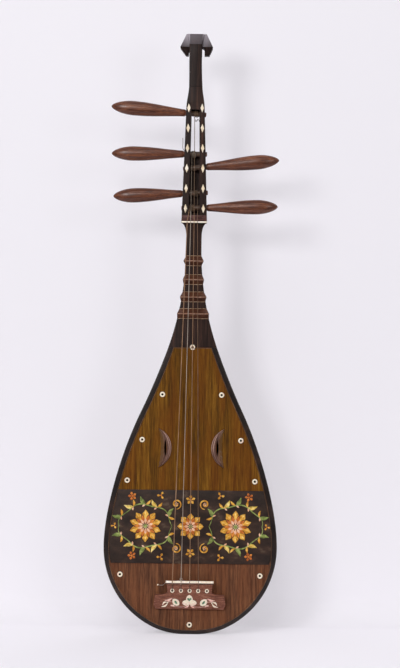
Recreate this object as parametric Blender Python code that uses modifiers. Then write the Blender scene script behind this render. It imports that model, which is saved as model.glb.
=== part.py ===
"""Five-string lute with a straight neck, built as an assembly of separate wooden pieces.

Metres. +Z runs from the tail up to the head, the soundboard faces -Y, and +X is to the right
when the instrument is seen from the front. The origin lies on the ground plane, under the
middle of the instrument's box. Heights are measured up from the tail, depths back from the
soundboard's face, and rises forward from it.
"""
import math

import bmesh
import bpy
from mathutils import Vector

GAP = 0.0003  # air kept between neighbouring pieces
ROUND_STEPS = 16  # sides of a round hole, ring or peg

# Body: a round lower end, planed flat at the tail, and sides that run in to the neck
BODY_LENGTH = 0.516
BODY_HALF_WIDTH = 0.156
BODY_LOW_RADIUS = 0.1585
TAIL_FLAT_HALF_WIDTH = 0.0276
SIDE_POINT_HEIGHT = 0.403
SIDE_POINT_HALF_WIDTH = 0.0901
SIDE_POINT_SLOPE = 0.48
BOARD_TOP_HALF_WIDTH = 0.0438
BOARD_TOP_SLOPE = 0.35
SIDE_PULL = 0.285
WAIST_PULL = 1.3

# Depths of the body and the neck, at the tail, in the middle and at the heel
BOWL_DEPTH = 0.088
BOWL_FLAT_CUT = 0.0025
BOWL_DEEP_LOW = 0.130
BOWL_DEEP_HIGH = 0.235
TAIL_DEPTH = 0.046
HEEL_DEPTH = 0.038
SIDE_WALL_DEPTH = 0.026
DOME_POWER = 2.6
RIM_WIDTH = 0.014
BACK_WALL = 0.008
CAVITY_TOP_BLOCK = 0.062

# Soundboard, binding and guard
BOARD_THICKNESS = 0.0045
BINDING_WIDTH = 0.010
BOARD_JOINT_HEIGHT = 0.194
GUARD_LOW = 0.129
GUARD_HIGH = 0.2594
GUARD_THICKNESS = 0.001
BRACE_WIDTH = 0.010
BRACE_DEPTH = 0.014
BRACE_HEIGHTS = (0.112, 0.282)
BRACE_TOP_DROP = 0.104
BRACE_END_ROOM = 0.0006
POST_RADIUS = 0.004
POST_HEIGHT = 0.180

# Neck and its tenon
NECK_LENGTH = 0.224
NECK_DEPTH = 0.027
NECK_WALL_DEPTH = 0.010
HEEL_LENGTH = 0.064
WAIST_HALF_WIDTH = 0.0138
WAIST_LOW_DROP = 0.048
WAIST_HIGH_DROP = 0.026
NECK_TOP_HALF_WIDTH = 0.0228
NECK_TENON_HALF_WIDTH = 0.018
NECK_TENON_LENGTH = 0.040
NECK_TENON_FRONT = 0.009
NECK_TENON_BACK = 0.027

# Frets: distance of each ridge below the top of the neck, and half the ridge's length
FRETS = ((0.0684, 0.0183), (0.1021, 0.0192), (0.1332, 0.0240), (0.1633, 0.0288))
FRET_BELOW_RIDGE = 0.0083
FRET_ABOVE_RIDGE = 0.0093
FRET_RIDGE_WIDTH = 0.0012
FRET_STRING_GAP = 0.0010

# Nut
NUT_HALF_LENGTH = 0.0226
NUT_STRIP_WIDTH = 0.0035
NUT_STRIP_RISE = 0.0090
NUT_BLOCK_WIDTH = 0.0100
NUT_BLOCK_RISE = 0.0074

# Peg box: its slot is open right through at the back along the window
PEG_BOX_LENGTH = 0.245
BOX_LOW_HALF_WIDTH = 0.0231
BOX_FLARE_HALF_WIDTH = 0.0163
BOX_FLARE_DROP = 0.031
BOX_THROAT_HALF_WIDTH = 0.0129
BOX_THROAT_DROP = 0.010
BOX_END_HALF_WIDTH = 0.0118
BOX_LOW_DEPTH = 0.028
BOX_DEPTH = 0.034
BOX_FLARE_DEPTH = 0.031
BOX_CHAMFER = 0.006
BOX_TENON_HALF_WIDTH = 0.006
BOX_TENON_LENGTH = 0.018
BOX_TENON_FRONT = 0.007
BOX_TENON_BACK = 0.019
SLOT_LOW = 0.0155
SLOT_TOP_DROP = 0.0410
SLOT_LOW_HALF_WIDTH = 0.0100
SLOT_HIGH_HALF_WIDTH = 0.0075
SLOT_DEPTH = 0.027
WINDOW_LOW = 0.1260
WINDOW_TOP_DROP = 0.0490
WINDOW_LEDGE = 0.0006

# Lozenge inlays, evenly from the lowest up
LOZENGE_COUNT = 6
LOZENGE_FIRST = 0.0259
LOZENGE_TOP_DROP = 0.0384
LOZENGE_WIDTH = 0.0062
LOZENGE_LENGTH = 0.016
INLAY_THICKNESS = 0.0010

# Head: an upright waisted strip with a faceted block behind it
HEAD_LENGTH = 0.096
HEAD_DEPTH = 0.028
HEAD_WAIST_HALF_WIDTH = 0.0106
HEAD_WAIST_LOW = 0.026
HEAD_WAIST_HIGH = 0.056
HEAD_WAIST_DEPTH = 0.031
HEAD_BEND_HALF_WIDTH = 0.0124
HEAD_BEND_LENGTH = 0.019
HEAD_BEND_DEPTH = 0.034
HEAD_BEND_BACK = 0.014
HEAD_TOP_HALF_WIDTH = 0.0144
HEAD_TOP_DEPTH = 0.037
HEAD_TENON_HALF_WIDTH = 0.006
HEAD_TENON_LENGTH = 0.020
HEAD_TENON_FRONT = 0.009
HEAD_TENON_BACK = 0.019
LOBE_BOTTOM_DROP = 0.042
LOBE_RIDGE_DROP = 0.026
LOBE_BOTTOM_HALF_WIDTH = 0.021
LOBE_RIDGE_HALF_WIDTH = 0.030
LOBE_TOP_HALF_WIDTH = 0.0182
LOBE_BOTTOM_DEPTHS = (0.013, 0.036)
LOBE_RIDGE_DEPTHS = (0.003, 0.046)
LOBE_TOP_DEPTHS = (0.016, 0.038)
HEAD_SLOT_WIDTH = 0.003
HEAD_SLOT_DEPTH = 0.018

# Pegs: name, side of the handle, share of the way from the lowest peg to the highest, tilt of
# the handle in degrees, its length
PEGS = (
    ("peg_1", -1, 1.0, 4.7, 0.133),
    ("peg_2", -1, 0.572, 0.0, 0.131),
    ("peg_3", -1, 0.1576, -2.7, 0.125),
    ("peg_4", 1, 0.4262, 5.8, 0.1325),
    ("peg_5", 1, 0.0, 1.5, 0.128),
)
PEG_LOWEST = 0.0273
PEG_TOP_DROP = 0.0483
PEG_AXIS_DEPTH = 0.013
PEG_SHAFT_RADIUS = 0.0048
PEG_TAPER = 0.022
PEG_STANDOFF = 0.0014
PEG_END_LENGTH = 0.0028
PEG_HANDLE_ROOT_RADIUS = 0.0062
PEG_HANDLE_FLARE_RADIUS = 0.0090
PEG_HANDLE_RADIUS = 0.0130
PEG_SWELL_SHARE = 0.70

# Bridge: a block on the board with a lip that overhangs towards the neck
BRIDGE_LOW = 0.0455
BRIDGE_HIGH = 0.0977
BRIDGE_SHOULDER = 0.0718
BRIDGE_HALF_WIDTH = 0.0645
BRIDGE_LIP_HALF_WIDTH = 0.0430
BRIDGE_WAIST_HALF_WIDTH = 0.0396
BRIDGE_WAIST_RISE = 0.0065
BRIDGE_RISE = 0.018
BRIDGE_TOE_RISE = 0.005
BRIDGE_LIP_UNDERSIDE = 0.010
BRIDGE_ROOT_HEIGHT = 0.0745
SADDLE_WIDTH = 0.0058
SADDLE_HALF_LENGTH = 0.0428
SADDLE_THICKNESS = 0.0017
BRIDGE_HOLE_HEIGHT = 0.0800
BRIDGE_HOLE_PITCH = 0.0155
BRIDGE_HOLE_RADIUS = 0.0015
EYELET_RADIUS = 0.00415
EYELET_THICKNESS = 0.0008

# Half-moon frames round the two sound holes
MOON_HEIGHT = 0.335
MOON_HALF_LENGTH = 0.035
MOON_TIP_X = 0.0593
MOON_BULGE_X = 0.0355
MOON_BACK_X = 0.0570
MOON_THICKNESS = 0.003
SLIT_X = 0.0470
SLIT_HALF_LENGTH = 0.017
SLIT_WIDTH = 0.0036

# Round inlays: distance in from the edge, and height, for the pairs and then for the single ones
RING_PAIRS = ((0.0242, 0.4312), (0.0238, 0.3495), (0.0216, 0.2761), (0.0219, 0.1065))
RING_TOP_RISE = 0.0006
RING_TAIL_HEIGHT = 0.0170
RING_RADIUS = 0.00525
RING_HOLE_RADIUS = 0.0015

# Strings: name, place at the nut from the left, peg, place on the peg, way the turns go
STRINGS = (
    ("string_1", 0, "peg_5", -0.0080, 1),
    ("string_2", 1, "peg_2", -0.0055, 1),
    ("string_3", 2, "peg_1", -0.0014, 1),
    ("string_4", 3, "peg_3", 0.0055, -1),
)
STRING_DIAMETERS = (0.0014, 0.0012, 0.0011, 0.0010)
STRING_PLACES = 5
NUT_STRING_PITCH = 0.0062
STRING_TURNS = 4
POINTS_PER_TURN = 24
TURN_GAP = 0.00045
KNOT_RADIUS = 0.0019

NECK_TOP = BODY_LENGTH + NECK_LENGTH
BOX_TOP = NECK_TOP + PEG_BOX_LENGTH
HEAD_TOP = BOX_TOP + HEAD_LENGTH
SADDLE_RISE = BRIDGE_RISE + GAP + SADDLE_THICKNESS
FRONT_REACH = SADDLE_RISE + GAP + max(STRING_DIAMETERS)
FACE_Y = (FRONT_REACH - BOWL_DEPTH) / 2

# Colours as sRGB hex, and the roughness of each finish
WOOD_DARK = ("dark_rosewood", "#33221e", 0.45)
WOOD_BACK = ("red_rosewood", "#4a2b22", 0.45)
WOOD_GOLD = ("golden_board", "#745018", 0.55)
WOOD_RED = ("reddish_board", "#6a4632", 0.55)
WOOD_PEG = ("peg_wood", "#6e4432", 0.40)
WOOD_BRIDGE = ("bridge_wood", "#7c4838", 0.45)
WOOD_MOON = ("moon_wood", "#7a5a55", 0.50)
WOOD_PALE = ("inner_spruce", "#c9a877", 0.70)
BINDING = ("binding", "#1d1512", 0.35)
LEATHER = ("guard_leather", "#33241c", 0.60)
IVORY = ("ivory", "#fff0dc", 0.35)
SHELL = ("mother_of_pearl", "#e6dfd2", 0.25)
GUT = ("twisted_silk", "#a89f8c", 0.60)


def clear_scene():
    for obj in list(bpy.data.objects):
        bpy.data.objects.remove(obj, do_unlink=True)


def new_collection(name):
    collection = bpy.data.collections.new(name)
    bpy.context.scene.collection.children.link(collection)
    return collection


def linear(channel):
    if channel <= 0.04045:
        return channel / 12.92
    return ((channel + 0.055) / 1.055) ** 2.4


def material_for(node, finish):
    """Give each object its own material, with its colour and roughness."""
    name, colour, roughness = finish
    material = bpy.data.materials.new(f"{node}_{name}")
    material.use_nodes = True
    shader = material.node_tree.nodes["Principled BSDF"]
    channels = [linear(int(colour[i:i + 2], 16) / 255) for i in (1, 3, 5)]
    shader.inputs["Base Color"].default_value = (*channels, 1.0)
    shader.inputs["Roughness"].default_value = roughness
    shader.inputs["Metallic"].default_value = 0.0
    return material


def place(x, depth, height):
    return Vector((x, FACE_Y + depth, height))


def interpolate(points, height):
    """Read a value off a list of (value, height) points that climb."""
    for (value_a, height_a), (value_b, height_b) in zip(points, points[1:]):
        if height <= height_b and height_b > height_a:
            share = max(0.0, (height - height_a) / (height_b - height_a))
            return value_a + (value_b - value_a) * share
    return points[-1][0]


def bezier(start, pull_start, pull_end, end, steps):
    points = []
    for i in range(steps + 1):
        t = i / steps
        weights = ((1 - t) ** 3, 3 * t * (1 - t) ** 2, 3 * t * t * (1 - t), t ** 3)
        corners = (start, pull_start, pull_end, end)
        points.append(tuple(sum(w * c[k] for w, c in zip(weights, corners)) for k in (0, 1)))
    return points


def toward(start, slope, rise):
    """Point at a rise from start, on a line that leans out by slope for each unit it falls."""
    return (start[0] - slope * rise, start[1] + rise)


def side_outline():
    """Right edge of the front, from the middle of the tail to the top of the neck."""
    flat_angle = math.asin(TAIL_FLAT_HALF_WIDTH / BODY_HALF_WIDTH)
    centre = BODY_LOW_RADIUS * math.cos(flat_angle)
    points = [(0.0, 0.0)]
    round_steps = 10
    for i in range(round_steps):
        angle = flat_angle + (math.pi / 2 - flat_angle) * i / round_steps
        x = BODY_HALF_WIDTH * math.sin(angle)
        points.append((x, centre - BODY_LOW_RADIUS * math.cos(angle)))
    wide = (BODY_HALF_WIDTH, centre)
    side = (SIDE_POINT_HALF_WIDTH, SIDE_POINT_HEIGHT)
    top = (BOARD_TOP_HALF_WIDTH, BODY_LENGTH)
    pull = (SIDE_POINT_HEIGHT - centre) * SIDE_PULL
    side_pull = toward(side, SIDE_POINT_SLOPE, -pull)
    points += bezier(wide, (wide[0], wide[1] + pull), side_pull, side, 7)
    pull = (BODY_LENGTH - SIDE_POINT_HEIGHT) * SIDE_PULL
    side_pull = toward(side, SIDE_POINT_SLOPE, pull)
    points += bezier(side, side_pull, toward(top, BOARD_TOP_SLOPE, -pull), top, 3)[1:]
    waist = (WAIST_HALF_WIDTH, NECK_TOP - WAIST_LOW_DROP)
    pull = (waist[1] - BODY_LENGTH) * SIDE_PULL
    waist_pull = (waist[0], waist[1] - WAIST_PULL * pull)
    points += bezier(top, toward(top, BOARD_TOP_SLOPE, pull), waist_pull, waist, 8)[1:]
    flare = (WAIST_HALF_WIDTH, NECK_TOP - WAIST_HIGH_DROP)
    nut = (NECK_TOP_HALF_WIDTH, NECK_TOP)
    knee = (flare[0], flare[1] + WAIST_HIGH_DROP * 0.6)
    nut_pull = (nut[0] - WAIST_HIGH_DROP * 0.2, nut[1] - WAIST_HIGH_DROP * 0.05)
    points += bezier(flare, knee, nut_pull, nut, 6)
    return points


def inset_outline(points, inset):
    """Move an outline inwards by the same distance everywhere."""
    moved = []
    last = len(points) - 1
    for i, (x, z) in enumerate(points):
        before = points[max(i - 1, 0)]
        after = points[min(i + 1, last)]
        along = Vector((after[0] - before[0], after[1] - before[1])).normalized()
        if i == 0:
            along = Vector((1.0, 0.0))
        moved.append((x - along[1] * inset, z + along[0] * inset))
    return moved


SIDE = side_outline()
WIDE_HEIGHT = max(SIDE)[1]


def half_width(height, inset=0.0):
    return interpolate(inset_outline(SIDE, inset), height)


def outline_between(low, high, inset=0.0):
    """Closed outline of the front between two heights, as (x, height) points."""
    edge = inset_outline(SIDE, inset)
    low = max(low, edge[0][1])
    points = [p for p in edge if low < p[1] < high or (p[1] <= low and low == edge[0][1] and p[0] > 0)]
    right = list(points)
    if low > edge[0][1]:
        right.insert(0, (interpolate(edge, low), low))
    right.append((interpolate(edge, high), high))
    return right + [(-x, z) for x, z in reversed(right)]


def wall_depth(height):
    """Depth of the upright side wall, which shrinks from the body to the neck."""
    start = BODY_LENGTH - HEEL_LENGTH
    share = min(max((height - start) / (2 * HEEL_LENGTH), 0.0), 1.0)
    smooth = share * share * (3 - 2 * share)
    return SIDE_WALL_DEPTH + (NECK_WALL_DEPTH - SIDE_WALL_DEPTH) * smooth


def back_profile():
    """Depth of the back's middle line against height, as (depth, height) points."""
    deep = BOWL_DEPTH + BOWL_FLAT_CUT
    neck_start = BODY_LENGTH + HEEL_LENGTH
    rise = BOWL_DEEP_LOW
    points = bezier(
        (TAIL_DEPTH, 0.0), (deep, rise * 0.16), (deep, rise * 0.5), (deep, rise), 10)
    drop = BODY_LENGTH - BOWL_DEEP_HIGH
    heel = (HEEL_DEPTH, BODY_LENGTH)
    points += bezier(
        (deep, BOWL_DEEP_HIGH), (deep, BOWL_DEEP_HIGH + drop * 0.40),
        (HEEL_DEPTH + drop * 0.10, BODY_LENGTH - drop * 0.30), heel, 10)
    points += bezier(
        heel, (HEEL_DEPTH - 0.006, BODY_LENGTH + HEEL_LENGTH * 0.4),
        (NECK_DEPTH, neck_start - HEEL_LENGTH * 0.4), (NECK_DEPTH, neck_start), 5)[1:]
    points.append((NECK_DEPTH, NECK_TOP - WAIST_HIGH_DROP))
    points.append((BOX_LOW_DEPTH, NECK_TOP))
    return points


BACK = back_profile()


def body_section(height, front_depth, inset=0.0, back_wall=0.0, steps=12):
    """Loop across the body or neck at one height: front edge, walls and rounded back."""
    width = half_width(height, inset)
    wall = wall_depth(height)
    deep = interpolate(BACK, height) - back_wall - wall
    limit = BOWL_DEPTH - back_wall
    loop = [place(width, front_depth, height)]
    for i in range(steps + 1):
        angle = math.pi * i / steps
        across = math.copysign(abs(math.cos(angle)) ** (2 / DOME_POWER), math.cos(angle))
        down = abs(math.sin(angle)) ** (2 / DOME_POWER)
        loop.append(place(width * across, min(wall + deep * down, limit), height))
    loop.append(place(-width, front_depth, height))
    return loop


clear_scene()
PARTS = new_collection("five_string_pipa")
CUTTERS = new_collection("cutters")


def finish_mesh(name, bm, finish, smooth=False):
    """Turn a bmesh into a named part, or into a cutter where it has no finish."""
    bmesh.ops.recalc_face_normals(bm, faces=bm.faces)
    mesh = bpy.data.meshes.new(name)
    bm.to_mesh(mesh)
    bm.free()
    if smooth:
        mesh.shade_smooth()
        mesh.set_sharp_from_angle(angle=math.radians(35))
    return finish_object(name, mesh, finish)


def finish_object(name, data, finish):
    obj = bpy.data.objects.new(name, data)
    if finish is None:
        CUTTERS.objects.link(obj)
        obj.display_type = "WIRE"
        obj.hide_render = True
    else:
        PARTS.objects.link(obj)
        data.materials.append(material_for(name, finish))
    return obj


def loft(name, loops, finish, smooth=False):
    """Skin a row of loops that have as many points each, and close both ends."""
    bm = bmesh.new()
    rows = [[bm.verts.new(point) for point in loop] for loop in loops]
    count = len(rows[0])
    for row, above in zip(rows, rows[1:]):
        for i in range(count):
            j = (i + 1) % count
            bm.faces.new((row[i], row[j], above[j], above[i]))
    bm.faces.new(rows[0])
    bm.faces.new(rows[-1])
    return finish_mesh(name, bm, finish, smooth)


def plate(name, outline, front, back, finish):
    """Extrude an (x, height) outline between two depths."""
    bm = bmesh.new()
    face = bm.faces.new([bm.verts.new(place(x, front, z)) for x, z in outline])
    grown = bmesh.ops.extrude_face_region(bm, geom=[face])
    corners = [v for v in grown["geom"] if isinstance(v, bmesh.types.BMVert)]
    bmesh.ops.translate(bm, verts=corners, vec=(0.0, back - front, 0.0))
    return finish_mesh(name, bm, finish)


def block(name, x_range, depth_range, height_range, finish):
    """A square-edged bar between two limits each way."""
    bm = bmesh.new()
    bmesh.ops.create_cube(bm, size=1.0)
    low = place(x_range[0], depth_range[0], height_range[0])
    high = place(x_range[1], depth_range[1], height_range[1])
    bmesh.ops.scale(bm, verts=bm.verts, vec=high - low)
    bmesh.ops.translate(bm, verts=bm.verts, vec=(low + high) / 2)
    return finish_mesh(name, bm, finish)


def turned(name, profile, steps, finish, closed=False):
    """Spin a (radius, height) profile, given from the top down, round the local Z axis."""
    bm = bmesh.new()
    verts = [bm.verts.new((radius, 0.0, height)) for radius, height in profile]
    for a, b in zip(verts, verts[1:]):
        bm.edges.new((a, b))
    if closed:
        bm.edges.new((verts[-1], verts[0]))
    mesh = bpy.data.meshes.new(name)
    bm.to_mesh(mesh)
    bm.free()
    obj = finish_object(name, mesh, finish)
    screw = obj.modifiers.new("turning", "SCREW")
    screw.steps = steps
    screw.render_steps = steps
    screw.use_merge_vertices = True
    screw.merge_threshold = 0.00001
    screw.use_smooth_shade = not closed
    return obj


def boolean(target, other, operation):
    modifier = target.modifiers.new(other.name, "BOOLEAN")
    modifier.operation = operation
    modifier.solver = "EXACT"
    modifier.object = other


def cut(target, *cutters):
    for cutter in cutters:
        boolean(target, cutter, "DIFFERENCE")


def disc_cutter(name, x, height, radius, front, back):
    """A round cutter along the depth."""
    outline = []
    for i in range(ROUND_STEPS):
        angle = 2 * math.pi * i / ROUND_STEPS
        outline.append((x + radius * math.cos(angle), height + radius * math.sin(angle)))
    return plate(name, outline, front, back, None)


def washer(name, x, height, radius, hole, front, thickness, finish):
    """A flat ring that lies in the plane of the front."""
    half = thickness / 2
    profile = ((radius, half), (radius, -half), (hole, -half), (hole, half))
    ring = turned(name, profile, ROUND_STEPS, finish, closed=True)
    ring.rotation_euler = (math.pi / 2, 0.0, 0.0)
    ring.location = place(x, front + half, height)
    return ring


def make_bowl():
    front = BOARD_THICKNESS + GAP
    heights = [z for x, z in SIDE[1:] if z < BODY_LENGTH]
    loops = [body_section(z, front) for z in heights + [BODY_LENGTH]]
    bowl = loft("back_bowl", loops, WOOD_BACK, smooth=True)
    inner = inset_outline(SIDE, RIM_WIDTH)
    top = BODY_LENGTH - CAVITY_TOP_BLOCK
    heights = [z for x, z in inner[1:] if z < top]
    loops = [body_section(z, front - 0.01, RIM_WIDTH, BACK_WALL) for z in heights + [top]]
    cut(bowl, loft("bowl_hollow", loops, None))
    side = NECK_TENON_HALF_WIDTH + GAP
    depths = (NECK_TENON_FRONT - GAP, NECK_TENON_BACK + GAP)
    heights = (BODY_LENGTH - NECK_TENON_LENGTH - GAP, BODY_LENGTH + 0.01)
    cut(bowl, block("neck_mortise", (-side, side), depths, heights, None))


def make_neck():
    bottom = BODY_LENGTH + GAP
    heights = [bottom] + [z for x, z in SIDE if bottom < z < NECK_TOP] + [NECK_TOP]
    neck = loft("neck", [body_section(z, 0.0) for z in heights], WOOD_DARK, smooth=True)
    side = NECK_TENON_HALF_WIDTH
    depths = (NECK_TENON_FRONT, NECK_TENON_BACK)
    heights = (BODY_LENGTH - NECK_TENON_LENGTH, bottom + 0.004)
    boolean(neck, block("neck_tenon", (-side, side), depths, heights, None), "UNION")
    side = BOX_TENON_HALF_WIDTH + GAP
    depths = (BOX_TENON_FRONT - GAP, BOX_TENON_BACK + GAP)
    heights = (NECK_TOP - BOX_TENON_LENGTH - GAP, NECK_TOP + 0.01)
    cut(neck, block("box_mortise", (-side, side), depths, heights, None))
    return neck


BOX_WIDTHS = (
    (BOX_LOW_HALF_WIDTH, 0.0),
    (BOX_FLARE_HALF_WIDTH, PEG_BOX_LENGTH - BOX_FLARE_DROP),
    (BOX_THROAT_HALF_WIDTH, PEG_BOX_LENGTH - BOX_THROAT_DROP),
    (BOX_END_HALF_WIDTH, PEG_BOX_LENGTH),
)


def box_half_width(height):
    """Half width of the peg box at a height above the nut."""
    return interpolate(BOX_WIDTHS, height)


SLOT_HIGH = PEG_BOX_LENGTH - SLOT_TOP_DROP


def slot_half_width(height):
    points = ((SLOT_LOW_HALF_WIDTH, SLOT_LOW), (SLOT_HIGH_HALF_WIDTH, SLOT_HIGH))
    return interpolate(points, height)


def box_section(height, depth):
    width = box_half_width(height)
    z = NECK_TOP + height
    corner = BOX_CHAMFER
    return [
        place(width, 0.0, z),
        place(width, depth - corner, z),
        place(width - corner, depth, z),
        place(corner - width, depth, z),
        place(-width, depth - corner, z),
        place(-width, 0.0, z),
    ]


def slot_section(height, front, back, ledge=0.0):
    width = slot_half_width(height) - ledge
    z = NECK_TOP + height
    corners = ((width, front), (width, back), (-width, back), (-width, front))
    return [place(x, depth, z) for x, depth in corners]


def make_peg_box():
    flare, throat, end = [height for width, height in BOX_WIDTHS[1:]]
    sections = (
        (GAP, BOX_LOW_DEPTH),
        (SLOT_LOW * 2, BOX_DEPTH),
        (flare, BOX_FLARE_DEPTH),
        (throat, HEAD_DEPTH),
        (end, HEAD_DEPTH),
    )
    box = loft("peg_box", [box_section(*section) for section in sections], WOOD_DARK)
    side = BOX_TENON_HALF_WIDTH
    depths = (BOX_TENON_FRONT, BOX_TENON_BACK)
    heights = (NECK_TOP - BOX_TENON_LENGTH, NECK_TOP + GAP + 0.004)
    boolean(box, block("box_tenon", (-side, side), depths, heights, None), "UNION")
    ends = (SLOT_LOW, SLOT_HIGH)
    cut(box, loft("box_slot", [slot_section(z, -0.01, SLOT_DEPTH) for z in ends], None))
    ends = (WINDOW_LOW, PEG_BOX_LENGTH - WINDOW_TOP_DROP)
    middle = SLOT_DEPTH - 0.005
    loops = [slot_section(z, middle, BOX_DEPTH + 0.01, WINDOW_LEDGE) for z in ends]
    cut(box, loft("box_window", loops, None))
    side = HEAD_TENON_HALF_WIDTH + GAP
    depths = (HEAD_TENON_FRONT - GAP, HEAD_TENON_BACK + GAP)
    heights = (BOX_TOP - HEAD_TENON_LENGTH - GAP, BOX_TOP + 0.01)
    cut(box, block("head_mortise", (-side, side), depths, heights, None))
    return box


def tapered_block(name, levels, finish):
    """Skin rectangles given as (height, half width, front depth, back depth)."""
    loops = []
    for z, width, front, back in levels:
        corners = ((width, front), (width, back), (-width, back), (-width, front))
        loops.append([place(x, depth, z) for x, depth in corners])
    return loft(name, loops, finish)


def make_head():
    """The waisted strip bends back at its top, and a faceted block stands behind it."""
    levels = (
        (BOX_TOP + GAP, BOX_END_HALF_WIDTH, 0.0, HEAD_DEPTH),
        (BOX_TOP + HEAD_WAIST_LOW, HEAD_WAIST_HALF_WIDTH, 0.0, HEAD_DEPTH),
        (BOX_TOP + HEAD_WAIST_HIGH, HEAD_WAIST_HALF_WIDTH, 0.0, HEAD_WAIST_DEPTH),
        (HEAD_TOP - HEAD_BEND_LENGTH, HEAD_BEND_HALF_WIDTH, 0.0, HEAD_BEND_DEPTH),
        (HEAD_TOP, HEAD_TOP_HALF_WIDTH, HEAD_BEND_BACK, HEAD_TOP_DEPTH),
    )
    head = tapered_block("head_finial", levels, WOOD_DARK)
    levels = (
        (HEAD_TOP - LOBE_BOTTOM_DROP, LOBE_BOTTOM_HALF_WIDTH, *LOBE_BOTTOM_DEPTHS),
        (HEAD_TOP - LOBE_RIDGE_DROP, LOBE_RIDGE_HALF_WIDTH, *LOBE_RIDGE_DEPTHS),
        (HEAD_TOP, LOBE_TOP_HALF_WIDTH, *LOBE_TOP_DEPTHS),
    )
    boolean(head, tapered_block("head_lobe", levels, None), "UNION")
    side = HEAD_TENON_HALF_WIDTH
    depths = (HEAD_TENON_FRONT, HEAD_TENON_BACK)
    heights = (BOX_TOP - HEAD_TENON_LENGTH, BOX_TOP + GAP + 0.004)
    boolean(head, block("head_tenon", (-side, side), depths, heights, None), "UNION")
    for side, name in ((-1, "left"), (1, "right")):
        inner = HEAD_WAIST_HALF_WIDTH
        xs = sorted((side * inner, side * (inner + HEAD_SLOT_WIDTH)))
        heights = (HEAD_TOP - LOBE_BOTTOM_DROP - 0.01, HEAD_TOP - LOBE_RIDGE_DROP)
        cut(head, block(f"head_slot_{name}", xs, (-0.01, HEAD_SLOT_DEPTH), heights, None))


def peg_axis(side, tilt):
    angle = math.radians(tilt)
    return Vector((side * math.cos(angle), 0.0, math.sin(angle)))


def peg_height(share):
    """Height of a peg above the nut."""
    return PEG_LOWEST + share * (PEG_BOX_LENGTH - PEG_TOP_DROP - PEG_LOWEST)


def peg_centre(height):
    return place(0.0, PEG_AXIS_DEPTH, NECK_TOP + height)


def shaft_radius(along):
    """The shaft gets thicker towards the handle."""
    return PEG_SHAFT_RADIUS + PEG_TAPER * along


def make_peg(box, name, side, share, tilt, handle_length):
    height = peg_height(share)
    reach = box_half_width(height) / math.cos(math.radians(tilt))
    end = -reach - PEG_END_LENGTH
    start = reach + PEG_STANDOFF
    tip = reach + handle_length
    swell = start + (tip - start) * PEG_SWELL_SHARE
    length = swell - start
    handle = bezier(
        (PEG_HANDLE_RADIUS, swell), (PEG_HANDLE_RADIUS, swell - length * 0.40),
        (PEG_HANDLE_FLARE_RADIUS, start + length * 0.40), (PEG_HANDLE_ROOT_RADIUS, start), 6)
    point = bezier(
        (0.0, tip), (PEG_HANDLE_RADIUS * 0.5, tip),
        (PEG_HANDLE_RADIUS, swell + (tip - swell) * 0.5), (PEG_HANDLE_RADIUS, swell), 5)
    rounding = PEG_END_LENGTH * 0.4
    profile = point + handle[1:] + [
        (shaft_radius(start), start - PEG_STANDOFF * 0.2),
        (shaft_radius(end), end + rounding),
        (shaft_radius(end) - rounding, end),
        (0.0, end),
    ]
    peg = turned(name, profile, ROUND_STEPS, WOOD_PEG)
    peg.rotation_euler = (0.0, side * math.radians(90 - tilt), 0.0)
    peg.location = peg_centre(height)
    bm = bmesh.new()
    cutter_reach = reach * 1.6
    bmesh.ops.create_cone(
        bm, cap_ends=True, segments=ROUND_STEPS, radius1=shaft_radius(-cutter_reach) + GAP,
        radius2=shaft_radius(cutter_reach) + GAP, depth=2 * cutter_reach)
    hole = finish_mesh(f"{name}_hole", bm, None)
    hole.rotation_euler = peg.rotation_euler
    hole.location = peg.location
    cut(box, hole)


def make_lozenges(box):
    pitch = (PEG_BOX_LENGTH - LOZENGE_TOP_DROP - LOZENGE_FIRST) / (LOZENGE_COUNT - 1)
    for side, word in ((-1, "left"), (1, "right")):
        for i in range(LOZENGE_COUNT):
            height = LOZENGE_FIRST + i * pitch
            x = side * (box_half_width(height) + slot_half_width(height)) / 2
            z = NECK_TOP + height
            name = f"lozenge_{word}_{i + 1}"
            for part_name, grow, back, finish in (
                    (name, 0.0, INLAY_THICKNESS, SHELL),
                    (f"{name}_recess", GAP, INLAY_THICKNESS + GAP, None)):
                wide = LOZENGE_WIDTH / 2 + grow
                long = LOZENGE_LENGTH / 2 + grow * 2
                outline = ((x + wide, z), (x, z + long), (x - wide, z), (x, z - long))
                front = 0.0 if finish else -0.01
                piece = plate(part_name, outline, front, back, finish)
                if finish is None:
                    cut(box, piece)


def string_rise(index, height):
    """Rise of a string's centre line between the saddle and the nut."""
    radius = STRING_DIAMETERS[index] / 2
    low = SADDLE_RISE + GAP + radius
    high = NUT_STRIP_RISE + GAP + radius
    share = (height - BRIDGE_HIGH) / (NECK_TOP - BRIDGE_HIGH)
    return low + (high - low) * share


def make_frets():
    for number, (drop, half_length) in enumerate(FRETS, 1):
        ridge = NECK_TOP - drop
        low = ridge - FRET_BELOW_RIDGE
        high = ridge + FRET_ABOVE_RIDGE
        thickest = STRING_DIAMETERS.index(max(STRING_DIAMETERS))
        rise = string_rise(thickest, ridge) - STRING_DIAMETERS[thickest] / 2 - FRET_STRING_GAP
        half_ridge = FRET_RIDGE_WIDTH / 2
        foot = ((half_width(low), low), (half_width(high), high))
        top = ((half_length, ridge - half_ridge), (half_length, ridge + half_ridge))
        loops = []
        for level, corners in ((GAP, foot), (rise, top)):
            right = [place(x, -level, z) for x, z in corners]
            left = [place(-x, -level, z) for x, z in reversed(corners)]
            loops.append(right + left)
        loft(f"fret_{number}", loops, WOOD_BRIDGE)


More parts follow.
